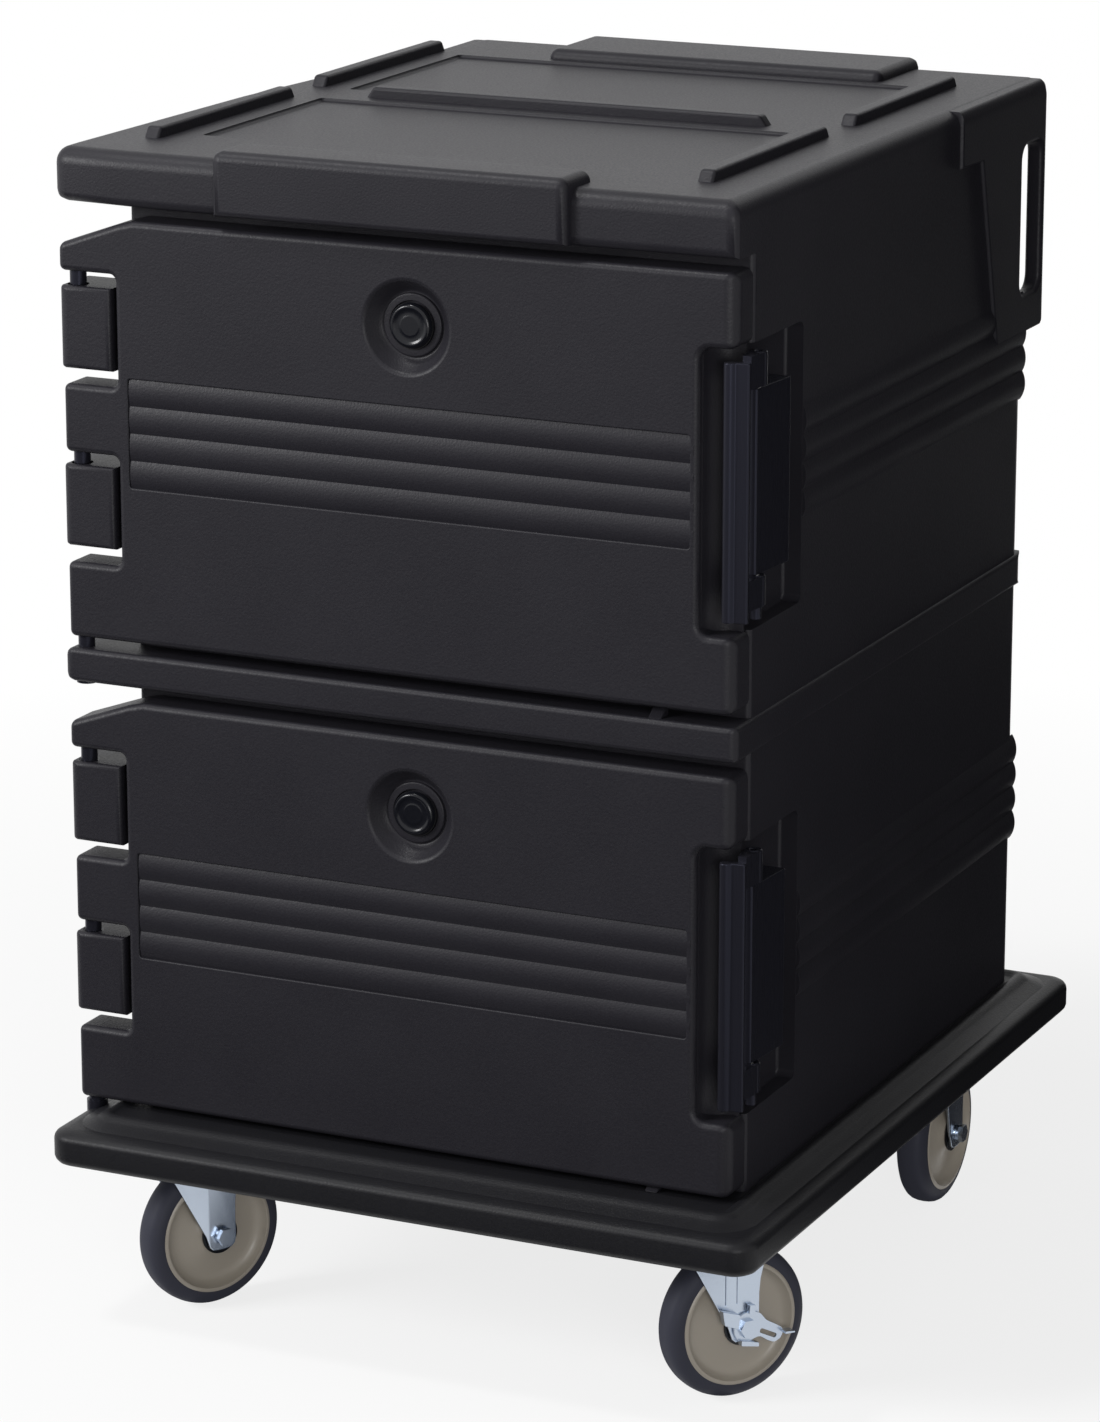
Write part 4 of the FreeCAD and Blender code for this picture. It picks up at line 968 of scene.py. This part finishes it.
def latch_handle(level):
    """Extruded latch handle: rounded nose, flat back strip and a hinge ear with a pin hole at each end."""
    size = sizes()
    x, y = size.latch_reach, -size.latch_front
    outline = [(-0.0210, -0.0290), (-0.0214, -0.0325), (-0.0202, -0.0360), (-0.0178, -0.0379),
               (-0.0148, -0.0384), (-0.0120, -0.0376), (-0.0102, -0.0357), (-0.0088, -0.0340),
               (-0.0030, -0.0334), (0.0028, -0.0330), (0.0046, -0.0318), (0.0048, -0.0290),
               (0.0040, -0.0268), (0.0000, -0.0256), (-0.0100, -0.0260), (-0.0180, -0.0274)]
    bar = prism("latch_handle", [(x + a, y + b) for a, b in outline], UPRIGHT, level + 0.092, level + 0.345)
    soften(bar, [(0.0012, lambda edge: upright(edge) and is_sharp(edge, 35)),
                 (0.0012, lambda edge: not upright(edge))], 3)
    made = [bar]
    # The barrel round the pin runs on below the lower ear as a thin collar
    for start, end, foot in ((level + 0.103, level + 0.134, level + 0.0905),
                             (level + 0.3185, level + 0.352, level + 0.3185)):
        rings = [(foot + 0.0010, 0.0034), (foot, 0.0042), (foot, 0.0052)]
        if foot < start:
            rings.append((start, 0.0052))
        rings += [(start, 0.0078), (start + 0.0012, 0.0090), (end - 0.0012, 0.0090), (end, 0.0078),
                  (end, 0.0046), (end - 0.0010, 0.0034)]
        barrel = stand_on_pin(turned("latch_ear", rings, 48, ring=True))
        web = prism("latch_web", [(x - 0.0045, y - 0.0270), (x - 0.0085, y - 0.0020),
                                  (x + 0.0085, y - 0.0020), (x + 0.0047, y - 0.0280)],
                    UPRIGHT, start + 0.0006, end - 0.0006)
        cut(web, stand_on_pin(turned("pin_hole", [(start - 0.01, 0.0036), (end + 0.01, 0.0036)], 32)))
        soften(web, [(0.0010, lambda edge: is_sharp(edge, 60) and not lies_in_bore(edge, x, y))], 2)
        made += [barrel, web]
    return gather("latch_handle", made)


def latch_leaf(level):
    """Nylon leaf in the side pocket: a flat-faced block that holds the middle of the latch pin."""
    size = sizes()
    x, y = size.latch_reach, -size.latch_front
    floor = size.half_body - POCKET_DEPTH
    outline = [(floor, y + 0.0130), (x - 0.0090, y + 0.0050), (x - 0.0092, y - 0.0030),
               (x - 0.0060, y - 0.0078), (x - 0.0020, y - 0.0094), (x + 0.0012, y - 0.0094),
               (x + 0.0030, y - 0.0080), (x + 0.0088, y + 0.0600), (x + 0.0070, y + 0.0620),
               (floor, y + 0.0620)]
    leaf = prism("latch_leaf", outline, UPRIGHT, level + 0.1345, level + 0.3165)
    return soften(leaf, [(0.0010, lambda edge: is_sharp(edge) and place_of(edge).x > floor + 0.001)], 3)


# The casters

# Place from the middle to the right and back, turn in degrees, and trail
CASTERS = {
    "front_left": (-0.287, -0.350, -29.0, TRAIL),
    "front_right": (0.303, -0.350, -35.0, TRAIL),
    "rear_left": (-0.301, 0.274, 0.0, 0.0),
    "rear_right": (0.301, 0.274, 0.0, 0.0),
}


def set_caster(piece, name, trail=True):
    """Move a piece made about the kingpin, with the axle along X, to one caster's place and turn."""
    x, y, turn, offset = CASTERS[name]
    if trail:
        piece.location = (0, offset, sizes().wheel_radius)
        fix_place(piece)
    piece.rotation_euler = (0, 0, math.radians(turn))
    piece.location = (x, y, 0)
    return fix_place(piece)


def tyre():
    """Tyre with rounded shoulders and a slightly crowned tread, about the axle."""
    radius, half = sizes().wheel_radius, sizes().tyre_width / 2
    section = [(0.0, radius), (0.3, radius - 0.0003), (0.52, radius - 0.0012), (0.68, radius - 0.0028),
               (0.82, radius - 0.0055), (0.93, radius - 0.0092), (1.0, radius - 0.0135)]
    right = [(half * share, wide) for share, wide in section]
    left = [(-half * share, wide) for share, wide in reversed(section[1:])]
    inner = radius - 0.0155
    profile = left + right + [(half * 0.98, inner), (half * 0.7, inner - 0.0003),
                              (-half * 0.7, inner - 0.0003), (-half * 0.98, inner)]
    return turned("tyre", profile, 128, ring=True)


def wheel_centre():
    """Bowl-shaped wheel centre with a pale bead at its rim and a hub boss."""
    rim = sizes().wheel_radius - 0.0152
    half = sizes().tyre_width / 2
    side = [(0.0190, 0.0095), (0.0190, 0.0180), (0.0182, 0.0190), (0.0150, 0.0215), (0.0122, 0.0270),
            (0.0102, 0.0340), (0.0090, 0.0410), (0.0086, 0.0470), (0.0094, 0.0520), (0.0114, 0.0556),
            (0.0142, 0.0580), (half - 0.0010, 0.0594), (half + 0.0007, 0.0604), (half + 0.0011, 0.0618),
            (half + 0.0006, 0.0634), (half - 0.0006, rim)]
    profile = side + [(-along, wide) for along, wide in reversed(side)]
    return turned("wheel_core", profile, 128, ring=True)


def pressed_leg(trail, top, front, rear, side, seams=()):
    """One leg of a pressed fork: square foot, hollowed rear edge, bent front flange and upright seams."""
    axle = sizes().wheel_radius
    rise = top - axle
    crease, bend, waist, hollow = trail - 0.0168, 0.2, 0.0180, 0.0480
    outline = [(front, rise), (-0.0195, 0.0020), (-0.0168, -0.0060), (-0.0152, -0.0112), (-0.0112, -0.0148),
               (0.0, -0.0156), (0.0112, -0.0148), (0.0152, -0.0112), (0.0166, -0.0060), (0.0164, 0.0180),
               (0.0166, 0.0340), (waist, hollow),
               (waist + (rear - waist) * 0.22, hollow + (rise - hollow) * 0.40),
               (waist + (rear - waist) * 0.58, hollow + (rise - hollow) * 0.74), (rear, rise)]
    inner, outer = side * 0.0235, side * 0.0270
    leg = prism("leg", [(trail + a, axle + b) for a, b in outline], LEFT_TO_RIGHT, inner, outer)
    open_mesh(leg)
    bpy.ops.mesh.bisect(plane_co=(0, crease, 0), plane_no=(0, 1, 0))
    bpy.ops.object.mode_set(mode="OBJECT")
    for corner in leg.data.vertices:
        beyond = crease - corner.co.y
        if beyond > 0:
            corner.co.x -= side * bend * beyond
    soften(leg, [(0.0010, lambda edge: is_sharp(edge, 50))], 2)
    for ahead, depth in seams:
        seam = trail - ahead
        cut(leg, block("seam", (depth, 0.0300), (seam - 0.0005, seam + 0.0005), (0.106, top - 0.012)))
    return leg


def swivel_fork(seams=()):
    """Swivel fork: pressed crown and two legs that trail to the axle, with seams in the right-hand one."""
    top = sizes().base_bottom - 0.0098
    crown = block("crown", (-0.0270, 0.0270), (-0.040, 0.060), (top - 0.0045, top))
    soften(crown, [(0.010, upright)], 6)
    soften(crown, [(0.0016, lambda edge: is_sharp(edge, 60))], 3)
    legs = [pressed_leg(TRAIL, top - 0.002, -0.0620, 0.0350, side, lines)
            for side, lines in ((-1, ()), (1, seams))]
    return gather("swivel_fork", [crown] + legs)


def rigid_frame():
    """Rigid caster frame: plate with two pressed legs."""
    top = sizes().base_bottom
    plate = block("plate", (-0.043, 0.043), (-0.052, 0.052), (top - 0.004, top))
    soften(plate, [(0.008, upright)], 5)
    soften(plate, [(0.0008, lambda edge: is_sharp(edge, 60))], 2)
    legs = [pressed_leg(0.0, top - 0.002, -0.0310, 0.0310, side) for side in (-1, 1)]
    return gather("rigid_frame", [plate] + legs)


def brake_lever():
    """Brake lever beside the right-hand leg: slotted arm, end tab, side pedal, nub and lower tab."""
    axle = sizes().wheel_radius
    start, end, past = 0.0275, 0.0305, 0.005

    def plate(name, outline, low, high):
        """Plate across the axle from its outline about the axle."""
        return prism(name, [(TRAIL + a, axle + b) for a, b in outline], LEFT_TO_RIGHT, low, high)

    arm = [(0.0062, 0.0166), (0.0157, 0.0128), (0.0231, 0.0036), (0.0344, -0.0030), (0.0419, -0.0080),
           (0.0427, -0.0125), (0.0400, -0.0187), (0.0326, -0.0220), (0.0250, -0.0187), (0.0157, -0.0121),
           (0.0100, -0.0125), (0.0040, -0.0155), (-0.0040, -0.0155), (-0.0110, -0.0115),
           (-0.0150, -0.0040), (-0.0150, 0.0050), (-0.0110, 0.0115), (-0.0040, 0.0158)]
    lever = plate("brake_lever", arm, start, end)
    soften(lever, [(0.0035, crosswise)], 3)
    slot = plate("lever_slot", [(0.0354, -0.0134), (0.0333, -0.0174), (0.0146, -0.0078), (0.0167, -0.0038)],
                 start - past, end + past)
    soften(slot, [(0.0020, crosswise)], 4)
    cut(lever, slot)
    hole = turned("lever_hole", [(start - past, 0.00805), (end + past, 0.00805)], 48)
    hole.location = (0, TRAIL, axle)
    cut(lever, fix_place(hole))
    soften(lever, [(0.0007, lambda edge: is_sharp(edge, 60) and not crosswise(edge))], 2)
    tabs = (
        ("side_pedal", [(-0.0313, 0.0242), (-0.0107, 0.0171), (-0.0125, 0.0021), (-0.0285, 0.0086)], 0.008),
        ("nub", [(0.0005, 0.0150), (0.0080, 0.0140), (0.0085, 0.0235), (0.0015, 0.0245)], 0.006),
        ("low_tab", [(-0.0088, -0.0110), (0.0118, -0.0165), (0.0118, -0.0212), (-0.0088, -0.0168)], 0.0075),
        ("end_tab", [(0.0405, -0.0095), (0.0520, -0.0108), (0.0520, -0.0128), (0.0405, -0.0125)], 0.011))
    made = [lever]
    for name, outline, thick in tabs:
        made.append(soften(plate(name, outline, start, start + thick), [(0.0009, any_edge)], 2))
    return gather("brake_lever", made)


# Steps of the build

def two_doors(make, name):
    """Piece of the lower door and its copy at the upper door, each with its side."""
    lower = make(sizes().lower_door)
    upper = copied(lower, "upper" + name, (0, 0, sizes().door_pitch))
    lower.name = "lower" + name
    lower.data.name = "lower" + name
    return (("lower", lower), ("upper", upper))


class FOODCART_OT_cabinet(bpy.types.Operator):
    """Model the cabinet's walls, ribs, rails, band, top and base"""
    bl_idname = "foodcart.cabinet"
    bl_label = "Cabinet"

    def execute(self, context):
        for make, node in ((cabinet_walls, "cabinet_shell"), (side_ribs, "cabinet_shell"),
                           (pan_rails, "pan_rails"), (push_handles, "push_handles"),
                           (top_slab, "cabinet_top"), (top_pads, "cabinet_top"), (top_ribs, "cabinet_top"),
                           (middle_band, "middle_band"), (rest_nubs, "middle_band"),
                           (base_tray, "base_tray"), (cabinet_knuckles, "cabinet_knuckles")):
            # The base takes the darker polyethylene, a painted shade for the shadow under the cabinet
            finish = "painted_shade_polyethylene" if node == "base_tray" else "rotomoulded_polyethylene"
            hand_over(make(), "cabinet", finish, [node])
        return {"FINISHED"}


class FOODCART_OT_doors(bpy.types.Operator):
    """Model the door once and copy it for the second compartment"""
    bl_idname = "foodcart.doors"
    bl_label = "Doors"

    def execute(self, context):
        for side, door in two_doors(door_panel, "_door_panel"):
            hand_over(door, side + "_door", "rotomoulded_polyethylene",
                      [side + "_door_shell"])
        return {"FINISHED"}


class FOODCART_OT_vents(bpy.types.Operator):
    """Model the turning vent caps"""
    bl_idname = "foodcart.vents"
    bl_label = "Vent caps"

    def execute(self, context):
        for side, cap in two_doors(vent_cap, "_vent_dial"):
            hand_over(cap, side + "_vent", "gloss_plastic", [side + "_vent_cap"])
        return {"FINISHED"}


class FOODCART_OT_latches(bpy.types.Operator):
    """Model the latch handles and leaves"""
    bl_idname = "foodcart.latches"
    bl_label = "Latches"

    def execute(self, context):
        for side, handle in two_doors(latch_handle, "_latch_handle_bar"):
            hand_over(handle, side + "_latch", "extruded_nylon", [side + "_latch_handle"])
        for side, leaf in two_doors(latch_leaf, "_latch_leaf_bar"):
            hand_over(leaf, "cabinet", "extruded_nylon", [side + "_latch_leaf"])
        return {"FINISHED"}


class FOODCART_OT_wheels(bpy.types.Operator):
    """Model a tyre and a wheel centre and copy them to all four casters"""
    bl_idname = "foodcart.wheels"
    bl_label = "Wheels"

    def execute(self, context):
        for make, node, slot in ((tyre, "_tyre", "tyre_rubber"),
                                 (wheel_centre, "_wheel_core", "grey_polypropylene")):
            first = make()
            for name in CASTERS:
                piece = set_caster(copied(first, name + node + "_round", (0, 0, 0)), name)
                hand_over(piece, name + "_wheel", SLOT_FINISHES[slot], [name + node])
            bpy.data.objects.remove(first, do_unlink=True)
        return {"FINISHED"}


class FOODCART_OT_forks(bpy.types.Operator):
    """Model the swivel forks, the rigid frames and the brake lever"""
    bl_idname = "foodcart.forks"
    bl_label = "Forks"

    def execute(self, context):
        # The braked fork has two seams where its guide plates are folded over, so it is modelled on its own
        braked = swivel_fork(((0.0225, 0.0249), (0.0100, 0.0261)))
        plain, rigid = swivel_fork(), rigid_frame()
        for first, name, node, body in ((plain, "front_left", "_swivel_fork", "front_left_swivel"),
                                        (braked, "front_right", "_swivel_fork", "front_right_swivel"),
                                        (rigid, "rear_left", "_rigid_frame", "cabinet"),
                                        (rigid, "rear_right", "_rigid_frame", "cabinet")):
            piece = set_caster(copied(first, name + node + "_press", (0, 0, 0)), name, trail=False)
            hand_over(piece, body, "zinc_plate", [name + node])
        for first in (plain, braked, rigid):
            bpy.data.objects.remove(first, do_unlink=True)
        lever = set_caster(brake_lever(), "front_right", trail=False)
        lever.name = "brake_pedal"
        hand_over(lever, "front_right_brake", "zinc_plate", ["front_right_brake_lever"])
        return {"FINISHED"}


class FOODCART_OT_finishes(bpy.types.Operator):
    """Give every piece that comes from the frame its finish"""
    bl_idname = "foodcart.finishes"
    bl_label = "Finishes"

    def execute(self, context):
        for row in frame["record"]["subparts"]:
            piece = frame["nodes"][row["node"]]
            piece.data.materials.clear()
            piece.data.materials.append(material(SLOT_FINISHES[row["material_slot"]]))
        return {"FINISHED"}


class FOODCART_OT_stage(bpy.types.Operator):
    """Set the floor, the soft lights and the camera"""
    bl_idname = "foodcart.stage"
    bl_label = "Stage"

    def execute(self, context):
        lay_floor()
        stand_cards()
        light_world()
        hang_lamps()
        place_camera()
        return {"FINISHED"}


# The stage

def seen_directly(tree):
    """Factor that is 1 where the camera sees a surface, straight or in metal or glass."""
    path = add(tree, "ShaderNodeLightPath")
    direct = add(tree, "ShaderNodeMath", {"operation": "MAXIMUM"},
                 {0: path.outputs["Is Camera Ray"], 1: path.outputs["Is Glossy Ray"]})
    return add(tree, "ShaderNodeMath", {"operation": "MAXIMUM"},
               {0: direct.outputs[0], 1: path.outputs["Is Transmission Ray"]})


def lay_floor():
    """Plain white floor that keeps a soft shadow near the cart and is pure white further off."""
    deselect()
    bpy.ops.mesh.primitive_grid_add(x_subdivisions=4, y_subdivisions=4, size=60)
    floor = named("floor")
    paper = bpy.data.materials.new("white_studio_paper")
    paper.use_nodes = True
    tree = paper.node_tree
    matt = tree.nodes["Principled BSDF"]
    settle(tree, matt, {"Base Color": paint(linear("#f4f4f4")), "Roughness": 0.95,
                        "Specular IOR Level": 0.0}, {})
    place = add(tree, "ShaderNodeTexCoord")
    reach = add(tree, "ShaderNodeVectorMath", {"operation": "LENGTH"}, {0: place.outputs["Object"]})
    # The paper's own glow takes over from 0.8 m to 2.4 m from the cart's middle
    spread = add(tree, "ShaderNodeMapRange", {"From Min": 0.8, "From Max": 2.4, "To Min": 0.8, "To Max": 1.0},
                 {"Value": reach.outputs["Value"]})
    glow = add(tree, "ShaderNodeEmission", {"Strength": 1.0})
    share = add(tree, "ShaderNodeMath", {"operation": "MULTIPLY"},
                {0: seen_directly(tree).outputs[0], 1: spread.outputs[0]})
    both = add(tree, "ShaderNodeMixShader", {}, {0: share.outputs[0], 1: matt.outputs[0], 2: glow.outputs[0]})
    tree.links.new(both.outputs[0], tree.nodes["Material Output"].inputs["Surface"])
    floor.data.materials.append(paper)
    # The floor's bounce would lift the black plastic to grey
    floor.visible_diffuse = False
    deselect()


def stand_cards():
    """Dark glowing cards that only glossy surfaces see, as painted reflections: beside the cart, before it,
    and under it as a painted shadow.
    """
    # Each card glows in its own dark tone and shows only in reflections: painted dark reflections of
    # surroundings that are not there
    cards = (("side_card", (0.84, 2.40, 1.30), (0, math.pi / 2, 0), (2.6, 5.0, 1), "#050505"),
             ("side_floor_card", (0.60, 1.50, 0.001), (0, 0, 0), (0.48, 3.0, 1), "#303032"),
             ("front_floor_card", (-1.0, -2.60, 0.001), (0, 0, 0), (4.0, 4.0, 1), "#202022"),
             # Grey glow under the cart: a painted shadow of the cart on the floor, seen only in reflections
             ("painted_shadow_card", (-0.02, 0.035, 0.001), (0, 0, 0), (0.70, 0.79, 1), "#5a5d63"))
    for name, place, turn, spans, tone in cards:
        deselect()
        bpy.ops.mesh.primitive_plane_add(size=1, location=place, rotation=turn)
        bpy.context.object.scale = spans
        card = named(name)
        painted_reflection = bpy.data.materials.new(name + "_painted_reflection")
        painted_reflection.use_nodes = True
        tree = painted_reflection.node_tree
        shade = add(tree, "ShaderNodeEmission", {"Strength": 1.0, "Color": paint(linear(tone))})
        tree.links.new(shade.outputs[0], tree.nodes["Material Output"].inputs["Surface"])
        card.data.materials.append(painted_reflection)
        card.visible_camera = False
        card.visible_diffuse = False
        card.visible_shadow = False
    deselect()


def light_world():
    """White surroundings for the eye, and a low even light on the cart."""
    world = bpy.data.worlds.new("studio")
    bpy.context.scene.world = world
    world.use_nodes = True
    tree = world.node_tree
    fill = tree.nodes["Background"]
    fill.inputs["Color"].default_value = paint(linear("#ffffff"))
    fill.inputs["Strength"].default_value = 0.25
    white = add(tree, "ShaderNodeBackground", {"Strength": 1.0, "Color": paint(linear("#ffffff"))})
    both = add(tree, "ShaderNodeMixShader", {}, {0: seen_directly(tree).outputs[0], 1: fill.outputs[0],
                                                 2: white.outputs[0]})
    tree.links.new(both.outputs[0], tree.nodes["World Output"].inputs["Surface"])


def hang_lamps():
    """Soft boxes: a key at the left, a small top light for the edges and a weak fill."""
    for name, place, aim, wide, power in (("key", (-3.1, -3.3, 2.5), (0, -0.2, 0.8), 1.4, 168.0),
                                          ("overhead", (-1.1, -1.2, 3.9), (0, 0, 1.0), 0.5, 40.0),
                                          ("fill", (2.9, -4.2, 1.3), (0, -0.3, 0.4), 1.6, 70.0)):
        deselect()
        bpy.ops.object.light_add(type="AREA", location=place)
        lamp = bpy.context.object
        lamp.name = name
        lamp.data.size = wide
        lamp.data.energy = power
        way = [a - b for a, b in zip(aim, place)]
        flat = math.hypot(way[0], way[1])
        lamp.rotation_euler = (math.atan2(flat, -way[2]), 0, math.atan2(way[1], way[0]) - math.pi / 2)
    deselect()


def place_camera():
    """Camera at the photograph's viewing angle."""
    deselect()
    bpy.ops.object.camera_add(location=(2.3037, -5.0162, 2.1136),
                              rotation=(math.radians(74.55), 0, math.radians(24.96)))
    camera = bpy.context.object
    camera.data.lens = 138.05
    camera.data.sensor_width = 36.0
    bpy.context.scene.camera = camera
    deselect()


STEPS = (FOODCART_OT_cabinet, FOODCART_OT_doors, FOODCART_OT_vents, FOODCART_OT_latches, FOODCART_OT_wheels,
         FOODCART_OT_forks, FOODCART_OT_finishes, FOODCART_OT_stage)


class FOODCART_PT_sidebar(bpy.types.Panel):
    """Sidebar panel with the cart's sizes, colours and steps"""
    bl_label = "Food cart"
    bl_idname = "FOODCART_PT_sidebar"
    bl_space_type = "VIEW_3D"
    bl_region_type = "UI"
    bl_category = "Food cart"

    def draw(self, context):
        for step in STEPS:
            self.layout.operator(step.bl_idname)
        for group in (context.scene.food_cart_sizes, context.scene.food_cart_colours):
            for name in group.bl_rna.properties.keys():
                if name not in ("rna_type", "name"):
                    self.layout.prop(group, name)


CLASSES = (CartSizes, CartColours) + STEPS + (FOODCART_PT_sidebar,)


def register():
    """Add the classes and the scene's settings."""
    for each in CLASSES:
        bpy.utils.register_class(each)
    bpy.types.Scene.food_cart_sizes = bpy.props.PointerProperty(type=CartSizes)
    bpy.types.Scene.food_cart_colours = bpy.props.PointerProperty(type=CartColours)


def unregister():
    """Remove the scene's settings and the classes."""
    del bpy.types.Scene.food_cart_sizes
    del bpy.types.Scene.food_cart_colours
    for each in reversed(CLASSES):
        bpy.utils.unregister_class(each)


def main():
    """Build the cart on its stage."""
    register()
    bpy.context.scene.view_settings.view_transform = "Standard"
    bpy.ops.foodcart.cabinet()
    bpy.ops.foodcart.doors()
    bpy.ops.foodcart.vents()
    bpy.ops.foodcart.latches()
    bpy.ops.foodcart.wheels()
    bpy.ops.foodcart.forks()
    bpy.ops.foodcart.finishes()
    bpy.ops.foodcart.stage()


if __name__ == "__main__":
    main()
